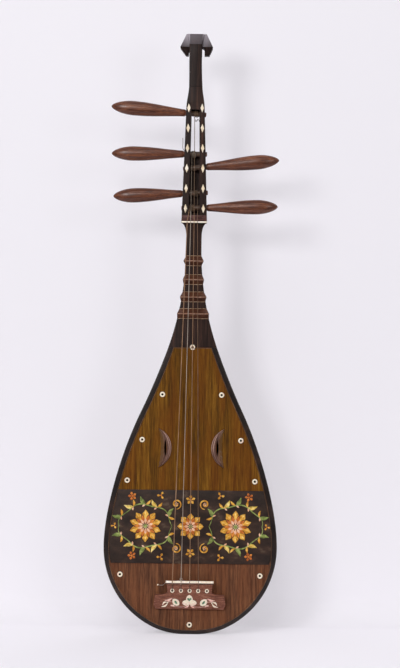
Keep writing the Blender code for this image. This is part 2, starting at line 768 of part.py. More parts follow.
def make_nut():
    side = NUT_HALF_LENGTH
    strip_top = NECK_TOP + NUT_STRIP_WIDTH
    block("nut_strip", (-side, side), (-NUT_STRIP_RISE, -GAP), (NECK_TOP, strip_top), IVORY)
    heights = (strip_top + GAP, strip_top + GAP + NUT_BLOCK_WIDTH)
    block("nut_block", (-side, side), (-NUT_BLOCK_RISE, -GAP), heights, WOOD_BRIDGE)


def moon_outline(side):
    """A half moon whose round side bulges towards the strings."""
    def arc(bulge_x, steps):
        sag = abs(bulge_x - MOON_TIP_X)
        radius = (sag * sag + MOON_HALF_LENGTH ** 2) / (2 * sag)
        reach = math.asin(MOON_HALF_LENGTH / radius)
        if sag > MOON_HALF_LENGTH:
            reach = math.pi - reach
        points = []
        for i in range(steps + 1):
            angle = reach * (2 * i / steps - 1)
            x = bulge_x + radius * (1 - math.cos(angle))
            points.append((side * x, MOON_HEIGHT + radius * math.sin(angle)))
        return points
    return arc(MOON_BULGE_X, 12) + list(reversed(arc(MOON_BACK_X, 6)))[1:-1]


def slit_cutter(side):
    """A long hole with round ends, through a frame and the board behind it."""
    radius = SLIT_WIDTH / 2
    straight = SLIT_HALF_LENGTH - radius
    outline = []
    for end in (1, -1):
        for i in range(5):
            angle = math.pi * i / 4 + (0 if end > 0 else math.pi)
            x = side * SLIT_X + radius * math.cos(angle)
            outline.append((x, MOON_HEIGHT + end * straight + radius * math.sin(angle)))
    name = "slit_left" if side < 0 else "slit_right"
    return plate(name, outline, -MOON_THICKNESS - 0.01, BOARD_THICKNESS + 0.01, None)


def make_soundboard(neck):
    inset = BINDING_WIDTH + GAP
    upper = plate(
        "soundboard_upper", outline_between(BOARD_JOINT_HEIGHT + GAP, BODY_LENGTH, inset),
        0.0, BOARD_THICKNESS, WOOD_GOLD)
    lower = plate(
        "soundboard_lower", outline_between(0.0, BOARD_JOINT_HEIGHT, inset),
        0.0, BOARD_THICKNESS, WOOD_RED)
    plate(
        "plectrum_guard", outline_between(GUARD_LOW, GUARD_HIGH, inset),
        -GUARD_THICKNESS - GAP, -GAP, LEATHER)
    outer = outline_between(0.0, BODY_LENGTH)
    inner = outline_between(0.0, BODY_LENGTH, BINDING_WIDTH)
    half = len(outer) // 2
    band = outer[half:] + outer[:half] + list(reversed(inner[:half]))
    band += list(reversed(inner[half:]))
    plate("edge_binding", band, 0.0, BOARD_THICKNESS, BINDING)

    for side, word in ((-1, "left"), (1, "right")):
        moon = plate(
            f"sound_hole_{word}", moon_outline(side), -MOON_THICKNESS - GAP, -GAP, WOOD_MOON)
        slit = slit_cutter(side)
        cut(moon, slit)
        cut(upper, slit)

    places = [(0.0, BODY_LENGTH + RING_TOP_RISE)]
    for edge_distance, z in RING_PAIRS:
        x = half_width(z) - edge_distance
        places += [(-x, z), (x, z)]
    places.append((0.0, RING_TAIL_HEIGHT))
    for number, (x, z) in enumerate(places, 1):
        name = f"ring_{number}"
        washer(name, x, z, RING_RADIUS, RING_HOLE_RADIUS, 0.0, INLAY_THICKNESS, SHELL)
        recess = disc_cutter(
            f"{name}_recess", x, z, RING_RADIUS + GAP, -0.01, INLAY_THICKNESS + GAP)
        cut(upper if z > BOARD_JOINT_HEIGHT else lower, recess)
        if z + RING_RADIUS > BODY_LENGTH:
            cut(neck, recess)


def make_inside():
    """Bars glued across the back of the soundboard, and the post under the guard."""
    front = BOARD_THICKNESS + GAP
    brace_places = (*BRACE_HEIGHTS, BODY_LENGTH - BRACE_TOP_DROP)
    for number, z in enumerate(brace_places, 1):
        heights = (z - BRACE_WIDTH / 2, z + BRACE_WIDTH / 2)
        reach = min(half_width(h, RIM_WIDTH) for h in heights) - BRACE_END_ROOM
        depths = (front, front + BRACE_DEPTH)
        block(f"cross_brace_{number}", (-reach, reach), depths, heights, WOOD_PALE)
    back = BOWL_DEPTH - BACK_WALL - GAP
    half = (back - front) / 2
    profile = ((0.0, half), (POST_RADIUS, half), (POST_RADIUS, -half), (0.0, -half))
    post = turned("sound_post", profile, 12, WOOD_PALE)
    post.rotation_euler = (math.pi / 2, 0.0, 0.0)
    post.location = place(0.0, front + half, POST_HEIGHT)


def hole_places():
    middle = (STRING_PLACES - 1) / 2
    return [(i - middle) * BRIDGE_HOLE_PITCH for i in range(STRING_PLACES)]


def make_bridge():
    profile = (
        (GAP, BRIDGE_LOW),
        (BRIDGE_TOE_RISE, BRIDGE_LOW),
        (BRIDGE_RISE, BRIDGE_SHOULDER),
        (BRIDGE_RISE, BRIDGE_HIGH),
        (BRIDGE_LIP_UNDERSIDE, BRIDGE_HIGH),
        (BRIDGE_LIP_UNDERSIDE, BRIDGE_ROOT_HEIGHT + 0.003),
        (GAP, BRIDGE_ROOT_HEIGHT),
    )
    sides = (BRIDGE_HALF_WIDTH, -BRIDGE_HALF_WIDTH)
    loops = [[place(x, -rise, z) for rise, z in profile] for x in sides]
    bridge = loft("bridge", loops, WOOD_BRIDGE)
    step = BRIDGE_HALF_WIDTH - BRIDGE_WAIST_HALF_WIDTH
    waist_height = BRIDGE_SHOULDER + BRIDGE_WAIST_RISE
    shoulder = bezier(
        (BRIDGE_HALF_WIDTH - step * 0.1, BRIDGE_SHOULDER),
        (BRIDGE_WAIST_HALF_WIDTH + step * 0.3, BRIDGE_SHOULDER),
        (BRIDGE_WAIST_HALF_WIDTH, BRIDGE_SHOULDER + BRIDGE_WAIST_RISE * 0.3),
        (BRIDGE_WAIST_HALF_WIDTH, waist_height), 6)
    lip_rise = BRIDGE_HIGH - waist_height
    shoulder += bezier(
        (BRIDGE_WAIST_HALF_WIDTH, waist_height),
        (BRIDGE_WAIST_HALF_WIDTH, waist_height + lip_rise * 0.4),
        (BRIDGE_LIP_HALF_WIDTH, BRIDGE_HIGH - lip_rise * 0.2),
        (BRIDGE_LIP_HALF_WIDTH, BRIDGE_HIGH + 0.01), 4)[1:]
    low = BRIDGE_LOW - 0.01
    corner = [(BRIDGE_HALF_WIDTH - 0.008, low), (BRIDGE_HALF_WIDTH + 0.0002, BRIDGE_LOW + 0.008)]
    right = corner + shoulder
    outline = right + [(-x, z) for x, z in reversed(right)]
    keep = plate("bridge_outline", outline, -BRIDGE_RISE - 0.01, 0.01, None)
    boolean(bridge, keep, "INTERSECT")
    side = SADDLE_HALF_LENGTH
    rises = (-BRIDGE_RISE - GAP - SADDLE_THICKNESS, -BRIDGE_RISE - GAP)
    heights = (BRIDGE_HIGH - SADDLE_WIDTH, BRIDGE_HIGH)
    block("bridge_saddle", (-side, side), rises, heights, IVORY)
    eyelet_front = -BRIDGE_RISE - GAP - EYELET_THICKNESS
    for number, x in enumerate(hole_places(), 1):
        hole = disc_cutter(
            f"string_hole_{number}", x, BRIDGE_HOLE_HEIGHT, BRIDGE_HOLE_RADIUS,
            -BRIDGE_RISE - 0.01, -BRIDGE_LIP_UNDERSIDE + 0.001)
        cut(bridge, hole)
        washer(
            f"eyelet_{number}", x, BRIDGE_HOLE_HEIGHT, EYELET_RADIUS, BRIDGE_HOLE_RADIUS,
            eyelet_front, EYELET_THICKNESS, SHELL)


def knot_and_hole(x, diameter):
    """Knot under the lip, up through the hole and over the eyelet: (place, radius) pairs."""
    thin = diameter / 2
    knot_rise = BRIDGE_LIP_UNDERSIDE - GAP - KNOT_RADIUS
    points = []
    for i in range(7):
        angle = math.pi * i / 6
        rise = knot_rise - KNOT_RADIUS * math.cos(angle)
        radius = max(KNOT_RADIUS * math.sin(angle), thin)
        points.append((place(x, -rise, BRIDGE_HOLE_HEIGHT), radius))
    turn = BRIDGE_HOLE_RADIUS * 0.8
    over = BRIDGE_RISE + GAP + EYELET_THICKNESS + GAP + thin
    for i in range(4):
        angle = math.pi / 2 * i / 3
        z = BRIDGE_HOLE_HEIGHT + turn * (1 - math.cos(angle))
        rise = over - turn * (1 - math.sin(angle))
        points.append((place(x, -rise, z), thin))
    return points


def winding(centre, axis, arrive, x_start, way, diameter):
    """Turns round a peg's shaft, from where a string coming from arrive touches them."""
    front = Vector((0.0, -1.0, 0.0))
    up = front.cross(axis) * math.copysign(1.0, axis.x)
    along_start = (x_start - centre.x) / axis.x
    pitch = (diameter + TURN_GAP) * way * math.copysign(1.0, axis.x)
    along_end = along_start + pitch * STRING_TURNS
    thickest = max(shaft_radius(along_start), shaft_radius(along_end))
    radius = thickest + GAP + diameter / 2
    offset = arrive - centre
    flat = Vector((offset.dot(front), offset.dot(up)))
    touch = math.atan2(flat.y, flat.x) + math.acos(radius / flat.length)
    points = []
    for i in range(STRING_TURNS * POINTS_PER_TURN + 1):
        turn = i / POINTS_PER_TURN
        angle = touch + 2 * math.pi * turn
        out = front * math.cos(angle) + up * math.sin(angle)
        points.append(centre + axis * (along_start + pitch * turn) + out * radius)
    last = (points[-1] - points[-2]).normalized()
    points.append(points[-1] + last * diameter)
    return points


def least_gap(points, diameter):
    """Least air between parts of a winding that aren't next to each other."""
    apart = POINTS_PER_TURN // 2
    least = 1.0
    for i, a in enumerate(points):
        for b in points[i + apart:]:
            least = min(least, (a - b).length)
    return least - diameter


def make_string(index, name, nut_place, peg_name, x_start, way):
    diameter = STRING_DIAMETERS[index]
    radius = diameter / 2
    hole_x = hole_places()[nut_place]
    nut_x = (nut_place - (STRING_PLACES - 1) / 2) * NUT_STRING_PITCH
    route = knot_and_hole(hole_x, diameter)
    over = SADDLE_RISE + GAP + radius
    route.append((place(hole_x, -over, BRIDGE_HIGH - SADDLE_WIDTH), radius))
    route.append((place(hole_x, -over, BRIDGE_HIGH), radius))
    over = NUT_STRIP_RISE + GAP + radius
    route.append((place(nut_x, -over, NECK_TOP), radius))
    route.append((place(nut_x, -over, NECK_TOP + NUT_STRIP_WIDTH), radius))
    side, share, tilt = next(peg[1:4] for peg in PEGS if peg[0] == peg_name)
    height = peg_height(share)
    axis = peg_axis(side, tilt)
    centre = peg_centre(height)
    block_end = NECK_TOP + NUT_STRIP_WIDTH + GAP + NUT_BLOCK_WIDTH
    edge_x = nut_x + (x_start - nut_x) * (block_end - NECK_TOP) / height
    arrive = place(edge_x, -NUT_BLOCK_RISE - GAP - radius, block_end)
    route.append((arrive, radius))
    turns = winding(centre, axis, arrive, x_start, way, diameter)
    route += [(point, radius) for point in turns]

    curve = bpy.data.curves.new(name, "CURVE")
    curve.dimensions = "3D"
    curve.bevel_depth = radius
    curve.bevel_resolution = 1
    curve.use_fill_caps = True
    spline = curve.splines.new("POLY")
    spline.points.add(len(route) - 1)
    for point, (spot, thickness) in zip(spline.points, route):
        point.co = (*spot, 1.0)
        point.radius = thickness / radius
    finish_object(name, curve, GUT)
    print(name, "least gap between its turns", round(least_gap(turns, diameter) * 1000, 3), "mm")


def make_everything():
    make_bowl()
    neck = make_neck()
    box = make_peg_box()
    make_head()
    for peg in PEGS:
        make_peg(box, *peg)
    make_lozenges(box)
    make_frets()
    make_nut()
    make_soundboard(neck)
    make_inside()
    make_bridge()
    for index, string in enumerate(STRINGS):
        make_string(index, *string)


make_everything()
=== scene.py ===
# %% [markdown]
# # Dressing a pipa
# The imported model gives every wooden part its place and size. This lesson dresses it: finer
# shells and carvings where the plain solids are coarse, and the finish of every surface. We
# work in metres. +Z runs up the strings, the soundboard faces -Y, and +X is to the right.

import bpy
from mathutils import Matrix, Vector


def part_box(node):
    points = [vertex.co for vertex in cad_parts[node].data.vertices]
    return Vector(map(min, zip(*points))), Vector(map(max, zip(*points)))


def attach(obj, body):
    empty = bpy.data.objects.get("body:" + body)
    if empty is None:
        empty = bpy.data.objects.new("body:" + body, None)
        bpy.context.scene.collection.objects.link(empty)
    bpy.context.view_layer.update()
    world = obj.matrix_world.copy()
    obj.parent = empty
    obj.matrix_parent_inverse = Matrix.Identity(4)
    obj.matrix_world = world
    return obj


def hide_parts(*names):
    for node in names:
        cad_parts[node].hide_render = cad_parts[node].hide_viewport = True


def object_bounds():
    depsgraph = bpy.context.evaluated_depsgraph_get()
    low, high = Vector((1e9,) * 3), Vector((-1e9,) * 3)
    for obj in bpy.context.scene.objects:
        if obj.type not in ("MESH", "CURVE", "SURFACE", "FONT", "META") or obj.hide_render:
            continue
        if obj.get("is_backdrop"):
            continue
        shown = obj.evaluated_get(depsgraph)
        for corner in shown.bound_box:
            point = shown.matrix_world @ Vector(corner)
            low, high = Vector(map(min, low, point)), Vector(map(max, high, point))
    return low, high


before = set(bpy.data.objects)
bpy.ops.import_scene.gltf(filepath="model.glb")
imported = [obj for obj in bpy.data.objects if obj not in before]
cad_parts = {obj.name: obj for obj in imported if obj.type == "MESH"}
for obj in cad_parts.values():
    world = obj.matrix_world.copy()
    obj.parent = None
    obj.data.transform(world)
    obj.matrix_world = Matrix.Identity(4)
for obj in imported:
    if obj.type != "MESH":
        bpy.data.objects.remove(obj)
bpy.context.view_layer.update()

# %% Modules and the planes that everything is measured from
import math

import bmesh
import bpy
from mathutils import Matrix, Vector

MM = 0.001
face_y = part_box("soundboard_upper")[0].y
board_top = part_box("back_bowl")[1].z
neck_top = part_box("nut_strip")[0].z
box_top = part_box("peg_box")[1].z
head_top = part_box("head_finial")[1].z
print("soundboard ends at", round(board_top, 4), "and the neck at", round(neck_top, 4))


def place(x, depth, height):
    """A point at a depth behind the soundboard's face; a rise in front of it is negative."""
    return Vector((x, face_y + depth, height))


# %% [markdown]
# ## Colour, and one helper for nodes
# Paint charts and photographs give colours as sRGB hex codes, but Blender's shaders add light
# in linear values, so one function turns the code. A second one fills the inputs of a node,
# and a third adds a node with its settings and fills it, which keeps each material a short
# list of what it is made of.

# %% Colours and nodes
def linear(code):
    channels = [int(code[i:i + 2], 16) / 255 for i in (1, 3, 5)]
    bent = [c / 12.92 if c <= 0.04045 else ((c + 0.055) / 1.055) ** 2.4 for c in channels]
    return (*bent, 1.0)


def connect(node, *values, **named):
    """Fill a node's inputs: values go to the inputs in use, in their order, and a named one to
    the input of that name, with _ for a space. A node or a socket is linked, a hex code is
    turned into a colour, and any other value is set."""
    pairs = list(zip([socket for socket in node.inputs if socket.enabled], values))
    pairs += [(node.inputs[name.replace("_", " ")], value) for name, value in named.items()]
    for socket, value in pairs:
        if isinstance(value, bpy.types.Node):
            value = next(output for output in value.outputs if output.enabled)
        if isinstance(value, bpy.types.NodeSocket):
            node.id_data.links.new(value, socket)
        else:
            socket.default_value = linear(value) if isinstance(value, str) else value


def add_node(tree, kind, *values, **named):
    """Add a node. A name with a capital letter is an input, and any other is a setting."""
    node = tree.nodes.new(kind)
    for name, value in named.items():
        if name[0].islower():
            setattr(node, name, value)
    connect(node, *values, **{name: value for name, value in named.items() if name[0].isupper()})
    return node


print("paper white in linear values", [round(c, 3) for c in linear("#f4f1f7")])

# %% Helpers for materials
def new_material(name, **shader_values):
    """A material with its Principled shader, whose inputs that stay the same are set here."""
    material = bpy.data.materials.new(name)
    material.use_nodes = True
    shader = material.node_tree.nodes["Principled BSDF"]
    connect(shader, **shader_values)
    return material, material.node_tree, shader


def stretched(tree, across_mm, along_mm, axis="Z"):
    """Object coordinates in which one unit is across_mm wide and, along the axis, along_mm."""
    scale = [1 / (across_mm * MM)] * 3
    scale["XYZ".index(axis)] = 1 / (along_mm * MM)
    spot = add_node(tree, "ShaderNodeTexCoord").outputs["Object"]
    return add_node(tree, "ShaderNodeMapping", Vector=spot, Scale=scale)


def marks(tree, across_mm, along_mm, axis="Z", detail=2.0, distortion=0.0):
    """Uneven marks of a real size."""
    return add_node(
        tree, "ShaderNodeTexNoise", Vector=stretched(tree, across_mm, along_mm, axis), Scale=1.0,
        Detail=detail, Distortion=distortion)


def set_stops(ramp, stops):
    """Give a colour ramp its (place, hex code) stops."""
    elements = ramp.color_ramp.elements
    for spot, code in stops[1:-1]:
        elements.new(spot)
    for element, (spot, code) in zip(elements, stops):
        element.position = spot
        element.color = linear(code)
    return ramp


def lay_over(material, share_of, code):
    """Mix a colour over a material's own, by a share that share_of(tree) works out."""
    tree = material.node_tree
    shader = tree.nodes["Principled BSDF"]
    below = shader.inputs["Base Color"].links[0].from_socket
    over = add_node(tree, "ShaderNodeMix", share_of(tree), below, code, data_type="RGBA")
    connect(shader, Base_Color=over)


def object_axis(tree, axis):
    """The place along one axis of the object, in metres."""
    spot = add_node(tree, "ShaderNodeTexCoord").outputs["Object"]
    return add_node(tree, "ShaderNodeSeparateXYZ", spot).outputs[axis]


print("an even noise of 1 mm marks has the scale", 1 / MM)

# %% [markdown]
# ## Wood
# Rosewood and the tone wood of the board are cut along the grain, so every mark in them runs
# one way: bands of colour as wide as a pencil, fine fibres, and open pores like short
# scratches. Three noises, each stretched along the grain, draw those three sizes. Real fibres
# are finer than a pixel of the photograph, so they are drawn about a millimetre wide. An image
# of wood would repeat and smear on the carved parts; noise in space runs right through them as
# real grain does.

# %% How wood is made
# Sizes of a pore in mm
PORE_WIDTH = 0.45
PORE_LENGTH = 7.0


def make_wood(
        name, stops, band, fibre, pores, axis="Z", rough=0.45, coat=0.0, gloss=0.2, tint=None,
        shine=0.22):
    """stops: colours from dark to light; band and fibre: (across, along) in mm;
    pores: how much the open pores darken; tint: (hex code, share) of a slow change of hue."""
    material, tree, shader = new_material(
        name, Coat_Weight=coat, Coat_Roughness=gloss, IOR=1.5, Specular_IOR_Level=shine)
    bands = marks(tree, *band, axis, detail=4.0, distortion=0.35)
    fibres = marks(tree, *fibre, axis, detail=5.0)
    pore_marks = marks(tree, PORE_WIDTH, PORE_LENGTH, axis, detail=1.0)
    pore = add_node(tree, "ShaderNodeMapRange", pore_marks, 0.60, 0.72)
    mixed = add_node(tree, "ShaderNodeMath", bands, fibres, operation="ADD")
    spread = add_node(tree, "ShaderNodeMapRange", mixed, 0.68, 1.32)
    wood = set_stops(add_node(tree, "ShaderNodeValToRGB", spread), stops)
    if tint:
        slow = marks(tree, band[0] * 5, band[1] * 0.8, axis, detail=1.0, distortion=0.6)
        share = add_node(tree, "ShaderNodeMapRange", slow, 0.42, 0.62, 0.0, tint[1])
        wood = add_node(tree, "ShaderNodeMix", share, wood, tint[0], data_type="RGBA")
    share = add_node(tree, "ShaderNodeMath", pore, pores, operation="MULTIPLY")
    wood = add_node(tree, "ShaderNodeMix", share, wood, stops[0][1], data_type="RGBA")
    height = add_node(tree, "ShaderNodeMath", fibres, pore, operation="SUBTRACT")
    connect(
        shader, Base_Color=wood,
        Roughness=add_node(
            tree, "ShaderNodeMapRange", fibres, 0.3, 0.7, rough - 0.06, rough + 0.10),
        Normal=add_node(tree, "ShaderNodeBump", Height=height, Strength=0.25, Distance=0.00015))
    return material


print("pores are", PORE_LENGTH, "mm long")

# %% The woods
# Polished rosewood, nearly black, with a red-brown glow where the grain opens
DARK_WOOD = make_wood(
    "polished_dark_rosewood",
    ((0.10, "#170d0a"), (0.45, "#291a15"), (0.72, "#38251e"), (0.95, "#4d3227")),
    (7.0, 160.0), (0.9, 40.0), 0.6, rough=0.52, coat=0.10, gloss=0.30, shine=0.12)
# The same wood with less stain on the back, oiled and rubbed by the player's clothes
BACK_WOOD = make_wood(
    "oiled_back_rosewood",
    ((0.08, "#2a1712"), (0.40, "#43261d"), (0.70, "#573326"), (0.95, "#6f4632")),
    (14.0, 260.0), (1.0, 50.0), 0.5, rough=0.48, coat=0.25)
# Old varnish has turned the upper board golden, with orange and olive streaks
GOLD_WOOD = make_wood(
    "golden_soundboard",
    ((0.05, "#3f2606"), (0.33, "#593809"), (0.60, "#6d460e"), (0.92, "#855a19")),
    (5.0, 190.0), (1.3, 26.0), 0.55, rough=0.58, tint=("#6b3709", 0.40), shine=0.10)
# The lower board is the same wood without the golden varnish: greyer and redder
RED_WOOD = make_wood(
    "reddish_soundboard",
    ((0.05, "#412719"), (0.35, "#5b3926"), (0.62, "#70472f"), (0.92, "#845537")),
    (4.0, 120.0), (1.3, 22.0), 0.55, rough=0.58, tint=("#6e3d22", 0.30), shine=0.12)
# Pegs are turned from a plain reddish hardwood, with the grain along the peg
PEG_WOOD = make_wood(
    "waxed_peg_wood",
    ((0.05, "#381a12"), (0.40, "#57301f"), (0.68, "#703f28"), (0.95, "#8a5434")),
    (5.0, 60.0), (0.6, 18.0), 0.55, axis="X", rough=0.42, coat=0.40, gloss=0.26)
# The bridge is cut across, so the grain runs sideways and the pores look like dots
BRIDGE_WOOD = make_wood(
    "bridge_rosewood",
    ((0.05, "#50291c"), (0.40, "#74432f"), (0.68, "#88523d"), (0.95, "#a8745d")),
    (3.0, 14.0), (0.8, 2.4), 0.7, axis="X", rough=0.55, coat=0.10, shine=0.35)
# Frets are the same wood, darker where fingers and strings have worn the stain in
FRET_WOOD = make_wood(
    "fret_rosewood",
    ((0.05, "#2a150e"), (0.40, "#4a2a1d"), (0.68, "#603a26"), (0.95, "#7d5236")),
    (2.5, 20.0), (0.6, 5.0), 0.6, axis="X", rough=0.48, coat=0.25)
# The block above the nut is a darker, redder offcut
NUT_WOOD = make_wood(
    "nut_block_rosewood",
    ((0.05, "#2c1613"), (0.40, "#4a2a26"), (0.68, "#5f3c38"), (0.95, "#75504a")),
    (2.5, 16.0), (0.6, 4.0), 0.5, axis="X", rough=0.5, coat=0.2)
# The carved half moons are a mauve-brown wood, left matt
MOON_WOOD = make_wood(
    "carved_mauve_wood",
    ((0.05, "#422923"), (0.40, "#5d3f34"), (0.70, "#745344"), (0.95, "#91705f")),
    (4.0, 30.0), (0.6, 9.0), 0.4, rough=0.50, coat=0.25)
# Bars inside are bare pale softwood
INNER_WOOD = make_wood(
    "bare_inner_wood",
    ((0.10, "#a8895c"), (0.45, "#bd9e70"), (0.75, "#ceb285"), (0.95, "#dcc49b")),
    (3.0, 120.0), (0.8, 30.0), 0.3, axis="X", rough=0.70)
print("woods made")

# %% [markdown]
# ## Horn, bone, shell, leather and silk
# The binding is black horn polished like lacquer. The nut and saddle are ivory-coloured bone:
# a faint grain and a soft glow, because light sinks in a little. Shell is the one finish that
# changes hue over a few millimetres, so its colour comes from a slow noise that mixes pink
# and green into white. The guard is dark leather, stretched and varnished, and its surface
# has cracked as fine as fish scales: a Voronoi cell edge draws that.

# %% How the other materials are made
def make_plain(name, stops, size, rough, bump=0.2, **values):
    """A material whose colour wanders between stops over size mm, with a soft unevenness."""
    material, tree, shader = new_material(name, **values)
    spread = add_node(tree, "ShaderNodeMapRange", marks(tree, size, size, detail=3.0), 0.3, 0.7)
    fine = marks(tree, size * 0.15, size * 0.15, detail=2.0)
    connect(
        shader, Base_Color=set_stops(add_node(tree, "ShaderNodeValToRGB", spread), stops),
        Roughness=add_node(tree, "ShaderNodeMapRange", fine, 0.3, 0.7, rough - 0.05, rough + 0.08),
        Normal=add_node(tree, "ShaderNodeBump", Height=fine, Strength=bump, Distance=0.0001))
    return material


def make_leather():
    """Varnished leather: a dark brown skin with a net of fine cracks and worn lighter spots."""
    material, tree, shader = new_material("cracked_guard_leather", Specular_IOR_Level=0.25)
    cells = add_node(
        tree, "ShaderNodeTexVoronoi", Vector=stretched(tree, 2.4, 1.6), Scale=1.0,
        feature="DISTANCE_TO_EDGE")
    crack = add_node(tree, "ShaderNodeMapRange", cells, 0.0, 0.12, 1.0, 0.0)
    worn = marks(tree, 22.0, 14.0, detail=4.0)
    spread = add_node(tree, "ShaderNodeMapRange", worn, 0.3, 0.72)
    tone = set_stops(
        add_node(tree, "ShaderNodeValToRGB", spread),
        ((0.05, "#241710"), (0.45, "#33231a"), (0.75, "#412d22"), (0.97, "#5c493a")))
    share = add_node(tree, "ShaderNodeMath", crack, 0.45, operation="MULTIPLY")
    connect(
        shader,
        Base_Color=add_node(tree, "ShaderNodeMix", share, tone, "#150d0a", data_type="RGBA"),
        Roughness=add_node(tree, "ShaderNodeMapRange", worn, 0.3, 0.7, 0.42, 0.62),
        Normal=add_node(tree, "ShaderNodeBump", Height=crack, Strength=-0.3, Distance=0.0001))
    return material


def make_silk(name, stops):
    """Waxed silk cord: its strands wind round it, drawn from the piece's own UV map, whose
    second value is the length in string diameters. Real strands are finer than a pixel."""
    material, tree, shader = new_material(name, Sheen_Weight=0.1, Specular_IOR_Level=0.3)
    lay = add_node(tree, "ShaderNodeUVMap", uv_map="lay")
    # A diagonal wave repeats every 2 pi / 10: two strands round the cord, a turn in 3 diameters
    repeat = 2 * math.pi / 10
    turned = add_node(
        tree, "ShaderNodeMapping", Vector=lay, Scale=(2 * repeat, repeat * 2 / 3, 0.0))
    strand = add_node(
        tree, "ShaderNodeTexWave", Vector=turned, Scale=1.0,
        bands_direction="DIAGONAL").outputs["Fac"]
    groove = add_node(tree, "ShaderNodeMapRange", strand, 0.0, 0.5, 0.35, 0.0)
    tone = marks(tree, 3.0, 25.0)
    silk = set_stops(add_node(tree, "ShaderNodeValToRGB", tone), stops)
    connect(
        shader,
        Base_Color=add_node(tree, "ShaderNodeMix", groove, silk, stops[0][1], data_type="RGBA"),
        Roughness=add_node(tree, "ShaderNodeMapRange", tone, 0.3, 0.7, 0.5, 0.65),
        Normal=add_node(tree, "ShaderNodeBump", Height=strand, Strength=0.4, Distance=0.0001))
    return material


print("plain, leather and silk finishes ready")

# %% The other materials
# Horn polished like lacquer: near black, with a soft shine
HORN = make_plain(
    "polished_black_horn",
    ((0.1, "#150c09"), (0.6, "#211612"), (0.95, "#33231d")), 30.0, 0.34,
    Coat_Weight=0.3, Coat_Roughness=0.2, Specular_IOR_Level=0.3)
# A thin line of boxwood, browned by handling but lighter than the horn beside it
PURFLING = make_plain(
    "boxwood_line", ((0.1, "#46301f"), (0.6, "#5f4029"), (0.95, "#7a5638")), 12.0, 0.5,
    Specular_IOR_Level=0.3)
# Nut and saddle are ivory-coloured bone, into which light sinks a little, so that it glows
IVORY = make_plain(
    "old_ivory", ((0.1, "#f6e4c8"), (0.5, "#fdf0dc"), (0.9, "#fffaf0")), 4.0, 0.34,
    Subsurface_Weight=0.15, Subsurface_Radius=(0.002, 0.0014, 0.001), Subsurface_Scale=0.4)
# The lozenges' bone is yellower and less glossy
BONE = make_plain(
    "yellowed_bone", ((0.1, "#d6bc94"), (0.5, "#ebd8b9"), (0.9, "#fcf1e0")), 16.0, 0.38,
    Specular_IOR_Level=0.4)
# Shell wanders from pink to greenish white, and its polish looks wet
SHELL = make_plain(
    "mother_of_pearl",
    ((0.1, "#f2d3bd"), (0.35, "#fbe8cf"), (0.65, "#f6efd3"), (0.9, "#fff4e0")), 3.5, 0.25,
    Coat_Weight=0.4, Coat_Roughness=0.1)
# Ebony plugs are so black and matt that they look like holes
EBONY = make_plain(
    "ebony_plug", ((0.1, "#060404"), (0.6, "#0d0908"), (0.95, "#181110")), 2.0, 0.7,
    Specular_IOR_Level=0.1)
# Scraped bamboo is pale and half matt
BAMBOO = make_plain(
    "bamboo_ridge", ((0.1, "#8a614c"), (0.5, "#a67c66"), (0.9, "#c49c86")), 3.0, 0.45,
    Specular_IOR_Level=0.4)
# Glue that was squeezed out and dried is pale brown
GLUE = make_plain(
    "dried_glue", ((0.1, "#7d604a"), (0.5, "#a5866a"), (0.9, "#c8ab8e")), 2.0, 0.5,
    Specular_IOR_Level=0.3)
# Pinker shell, as glossy as the white
PINK_SHELL = make_plain(
    "pink_shell", ((0.1, "#e0a392"), (0.5, "#efc0ae"), (0.9, "#fbdccf")), 2.5, 0.28,
    Coat_Weight=0.4, Coat_Roughness=0.1)
# Polished green stone for the hearts of the flowers
GREEN_STONE = make_plain(
    "green_stone", ((0.1, "#2f5a3c"), (0.5, "#4f7d57"), (0.9, "#8aa883")), 1.5, 0.35)
LEATHER = make_leather()
# Waxed silk is matt; the old strings are brown, newer ones grey and soiled ends nearly black
SILK = make_silk("waxed_silk", ((0.25, "#7d5c42"), (0.5, "#9a7557"), (0.75, "#b48f70")))
GREY_SILK = make_silk("worn_silk", ((0.25, "#86776a"), (0.5, "#a39486"), (0.75, "#bdb0a3")))
BROWN_SILK = make_silk("darkened_silk", ((0.25, "#5d4431"), (0.5, "#735640"), (0.75, "#8d6f57")))
DARK_SILK = make_silk("soiled_silk", ((0.25, "#1d1815"), (0.5, "#2b2520"), (0.75, "#3d362e")))
# Oil colours on the guard: old, a little uneven, and thick enough to have an edge
PAINTS = {
    "outline": ("#20140c", "#2b1b10", "#3a2616"), "gold": ("#b07418", "#d7982f", "#efbd57"),
    "orange": ("#9a4714", "#c2681f", "#dd8a38"), "green": ("#5c6a2e", "#7f8e45", "#a6b165"),
    "pink": ("#cf9470", "#e3b08c", "#f2cfb0"), "yellow": ("#c9a13c", "#e4c25e", "#f4de8e")}
PAINT = {
    name: make_plain(
        f"{name}_oil_paint", tuple(zip((0.1, 0.5, 0.9), codes)), 6.0, 0.5, bump=0.5,
        Specular_IOR_Level=0.3)
    for name, codes in PAINTS.items()}
print("materials:", len(bpy.data.materials))

# %% [markdown]
# ## Camera, light and paper
# A museum shot: the instrument stands close to pale paper that curves up behind it. One soft
# lamp at the left and a weaker one at the right light the front, a small one high in front
# makes the light fall off towards the tail, and a narrow one overhead is there for the gloss on
# carved facets. Behind the camera the room is dark, so that dark wood stays dark. The lens is
# long, so the sides run almost parallel. The paper is one-sided: from behind it is clear, so
# the back can be looked at too, by a lamp of its own.

